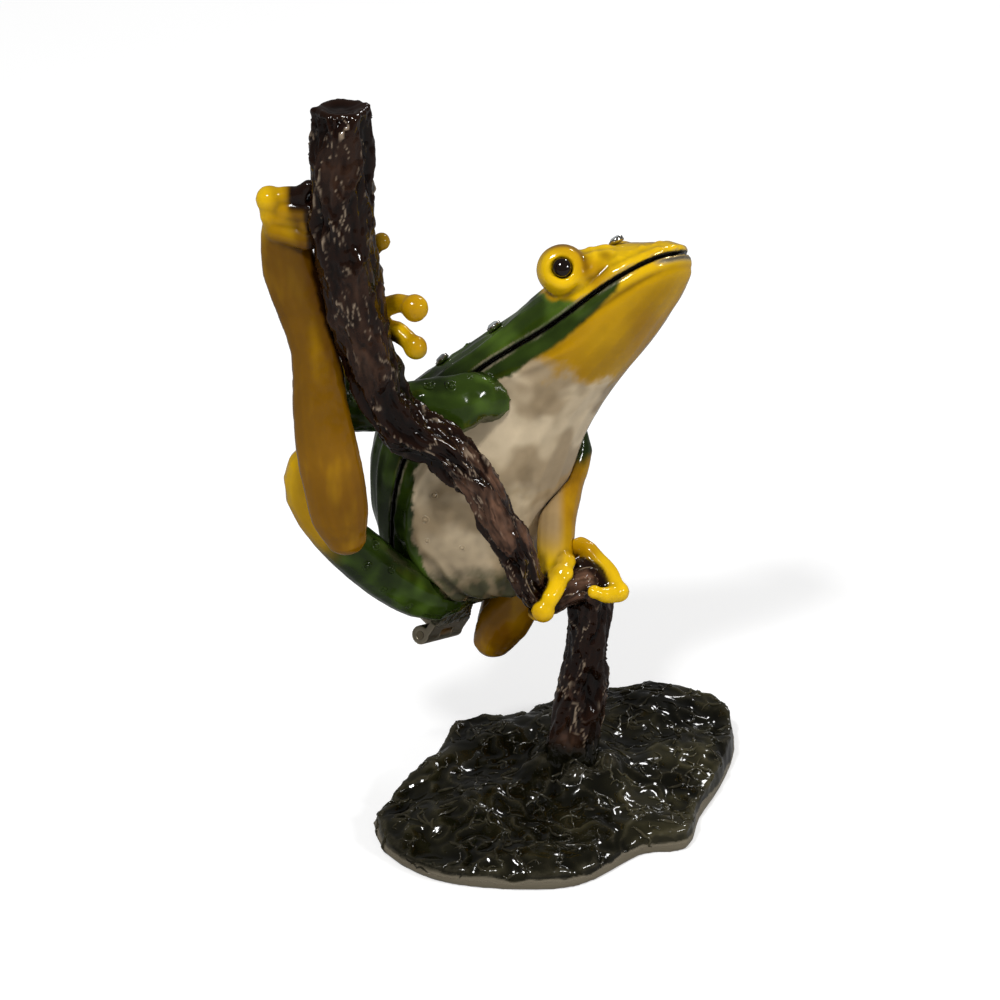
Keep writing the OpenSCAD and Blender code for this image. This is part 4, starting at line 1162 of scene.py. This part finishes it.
def make_eyes():
    """Polished dark cabochons in the eye bulges."""
    half = EYE_ACROSS / 2 - EYE_PLAY
    outline = [(half * 0.96, -0.5), (half, -0.1), (half * 0.98, 0.1), (half * 0.88, 0.38),
               (half * 0.68, 0.6), (half * 0.42, 0.74), (half * 0.15, 0.79)]
    for side, name in zip(SIDES, ("right_eye", "left_eye")):
        eye = lathed(name + "_cabochon", outline, 40)
        turn = Vector((0, 0, 1)).rotation_difference(Vector(eye_facing(side))).to_matrix().to_4x4()
        seat = Vector(eye_place(side) + eye_facing(side) * (EYE_BULGE - EYE_SINK) * MM)
        eye.data.transform(Matrix.Translation(seat) @ turn)
        eye.data.shade_smooth()
        fitted(eye, eye_glass, "lid", [name])


CRYSTAL_ACROSS = 1.9
CRYSTAL_SINK = 0.3


def make_crystals(tree):
    """Faceted crystals in round settings, where the solids have them."""
    solid = frame["nodes"]["back_crystals"].data
    places = read_places(solid)
    frog = in_frog(places)
    order = [frog[:, 0] < 33, (frog[:, 0] >= 33) & (frog[:, 0] < 45), frog[:, 0] >= 45]
    r = CRYSTAL_ACROSS / 2
    stone = lathed("stone_form", [(r * 0.5, -0.45), (r * 0.86, -0.1), (r * 0.86, 0.02), (r * 0.70, 0.2),
                                  (r * 0.5, 0.32)], 10)
    setting = lathed("setting_form", [(r * 0.98, -0.5), (r, -0.05), (r * 0.97, 0.06), (r * 0.86, 0.08),
                                      (r * 0.84, -0.1)], 28)
    spots = []
    for group in order:
        middle = places[group].mean(0)
        far = places[group] - middle
        facing = np.linalg.eigh(far.T @ far)[1][:, 0]
        if facing @ frog_up < 0:
            facing = -facing
        top = (far @ facing).max()
        spots.append((middle + facing * (top - CRYSTAL_SINK * MM), facing, 1.0))
    for name, form, finish, slot in (("crystal_stones", stone, crystal_glass, "crystal"),
                                     ("crystal_settings", setting, setting_pewter, "hinge_pewter")):
        piece = point_piece(name, spots)
        grown(piece, tree, Form=form, Finish=finish)
        if form is stone:
            piece.data.shade_flat()
        fitted(piece, finish, "lid", ["back_crystals"] if form is stone else ())
    for form in (stone, setting):
        bpy.data.objects.remove(form)


def make_hinge():
    """Hinge pieces of bare pewter with their edges eased."""
    for node_name, body in (("box_knuckles", "box"), ("lid_knuckle", "lid")):
        piece = cast_copy(node_name + "_cast", [node_name], grain=0.11, easing=3)
        places = read_places(piece.data)
        rough = step(in_frog(places)[:, 0] + 0.5 * cloud(places, 1.5, 61, 2), 1.9, 2.7)
        raise_skin(piece, 0.10 * rough * cloud(places, 0.9, 62, 2))
        paint(piece, DEEP_GREEN, 1 - rough * (0.9 if body == "box" else 0))
        fitted(piece, skin_enamel, body, [node_name])
    for node_name, finish in (("hinge_pin", hinge_pewter), ("jaw_magnet", magnet_nickel),
                              ("lid_magnet", magnet_nickel)):
        solid = frame["nodes"][node_name]
        solid.data.materials.clear()
        solid.data.materials.append(finish)


# The object
rock = make_rock()
make_moss(rock)
make_branch()
lid = make_lid()
box = make_box()
right_arm = limb_piece("right_arm_skin", "right_arm", (), right_arm_colours, rough=0.12)
limb_piece("left_arm_skin", "left_arm", (), left_arm_colours, rough=0.05)
right_leg = limb_piece("right_leg_skin", "right_hind_leg", RIGHT_FOOT_WEBS, right_leg_colours,
                       rough=0.05)
limb_piece("left_leg_skin", "left_hind_leg", [BARK_BLOCK], left_leg_colours, rough=0.05)

studs = stud_tree()
wart = lathed("wart_form", WART_OUTLINE, 20)
right_side = surface_tree(right_arm, right_leg)
make_warts("limb_warts", "box", spots_seen(right_side, ARM_WARTS + LEG_WARTS),
           [right_arm, right_leg], wart, studs)
belly_spots = spots_seen(surface_tree(box), BELLY_WARTS)
make_warts("belly_warts", "box", belly_spots, [box], wart, studs)
lid_surface = surface_tree(lid)
back_spots = []
for ahead, left, size in BACK_WARTS:
    start = Vector(from_frog(ahead, left, 40))
    place, facing, _, _ = lid_surface.ray_cast(start, -Vector(frog_up))
    back_spots.append((place, facing, size))
make_warts("back_warts", "lid", back_spots, [lid], wart, studs)
bpy.data.objects.remove(wart)
make_eyes()
make_crystals(studs)
make_hinge()


# Floor, light and camera: the room is white to the camera and dimmer in reflections
FLOOR_GLOW = 0.5
FLOOR_REFLECTED = 0.4
ROOM_LIGHT = 0.34
ROOM_REFLECTED = 0.12
FLOOR_SIZE = 4
FLOOR_GREY = 0.6

# Lamps that look at the middle of the figure: name, place, power and width
FIGURE_MIDDLE = Vector((-0.003, 0, 0.05))
LAMPS = [
    ("key", (-0.25, -0.45, 0.70), 4.2, 0.11), ("fill", (0.60, -0.35, 0.38), 2.2, 0.12),
    ("back", (0.35, 0.55, 0.60), 1.4, 0.12),
]


def make_floor():
    bpy.ops.mesh.primitive_plane_add(size=FLOOR_SIZE, location=(0, 0, 0))
    floor = bpy.context.object
    floor.name = "floor"
    material, tree, surface = blank_material("pale_floor")
    surface.inputs["Base Color"].default_value = (FLOOR_GREY, FLOOR_GREY, FLOOR_GREY, 1)
    surface.inputs["Roughness"].default_value = 0.9
    surface.inputs["Specular IOR Level"].default_value = 0.1
    ray = add(tree, "ShaderNodeLightPath")
    dark = add(tree, "ShaderNodeBsdfDiffuse", {"Color": (0, 0, 0, 1)})
    dimmed = times(tree, ray.outputs["Is Glossy Ray"], 1 - FLOOR_REFLECTED)
    plain = add(tree, "ShaderNodeMixShader", {0: dimmed, 1: surface.outputs[0], 2: dark.outputs[0]})
    seen = times(tree, ray.outputs["Is Camera Ray"], FLOOR_GLOW)
    glow = add(tree, "ShaderNodeEmission", {"Color": (1, 1, 1, 1), "Strength": seen})
    both = add(tree, "ShaderNodeAddShader", {0: plain.outputs[0], 1: glow.outputs[0]})
    tree.links.new(both.outputs[0], tree.nodes["Material Output"].inputs["Surface"])
    floor.data.materials.append(material)


def make_light(name, place, power, width):
    lamp = bpy.data.lights.new(name, "AREA")
    lamp.energy = power
    lamp.size = width
    light = new_piece(name, lamp)
    light.location = place
    light.rotation_euler = (FIGURE_MIDDLE - Vector(place)).to_track_quat("-Z", "Y").to_euler()


make_floor()
for settings in LAMPS:
    make_light(*settings)

world = bpy.data.worlds.new("soft_room")
world.use_nodes = True
room = world.node_tree
ray = add(room, "ShaderNodeLightPath")
seen_white = times(room, ray.outputs["Is Camera Ray"], 1 - ROOM_LIGHT)
strength = plus(room, ROOM_LIGHT, seen_white)
strength = minus(room, strength, times(room, ray.outputs["Is Glossy Ray"], ROOM_LIGHT - ROOM_REFLECTED))
room.nodes["Background"].inputs["Color"].default_value = (1, 1, 1, 1)
room.links.new(strength, room.nodes["Background"].inputs["Strength"])
bpy.context.scene.world = world

camera_data = bpy.data.cameras.new("photo_camera")
camera_data.lens = CAMERA_LENS
camera_data.sensor_width = SENSOR_WIDTH
camera = new_piece("photo_camera", camera_data)
camera.location = CAMERA_PLACE
camera.rotation_euler = (CAMERA_TILT, 0, 0)
bpy.context.scene.camera = camera

bpy.context.scene.view_settings.view_transform = "Standard"
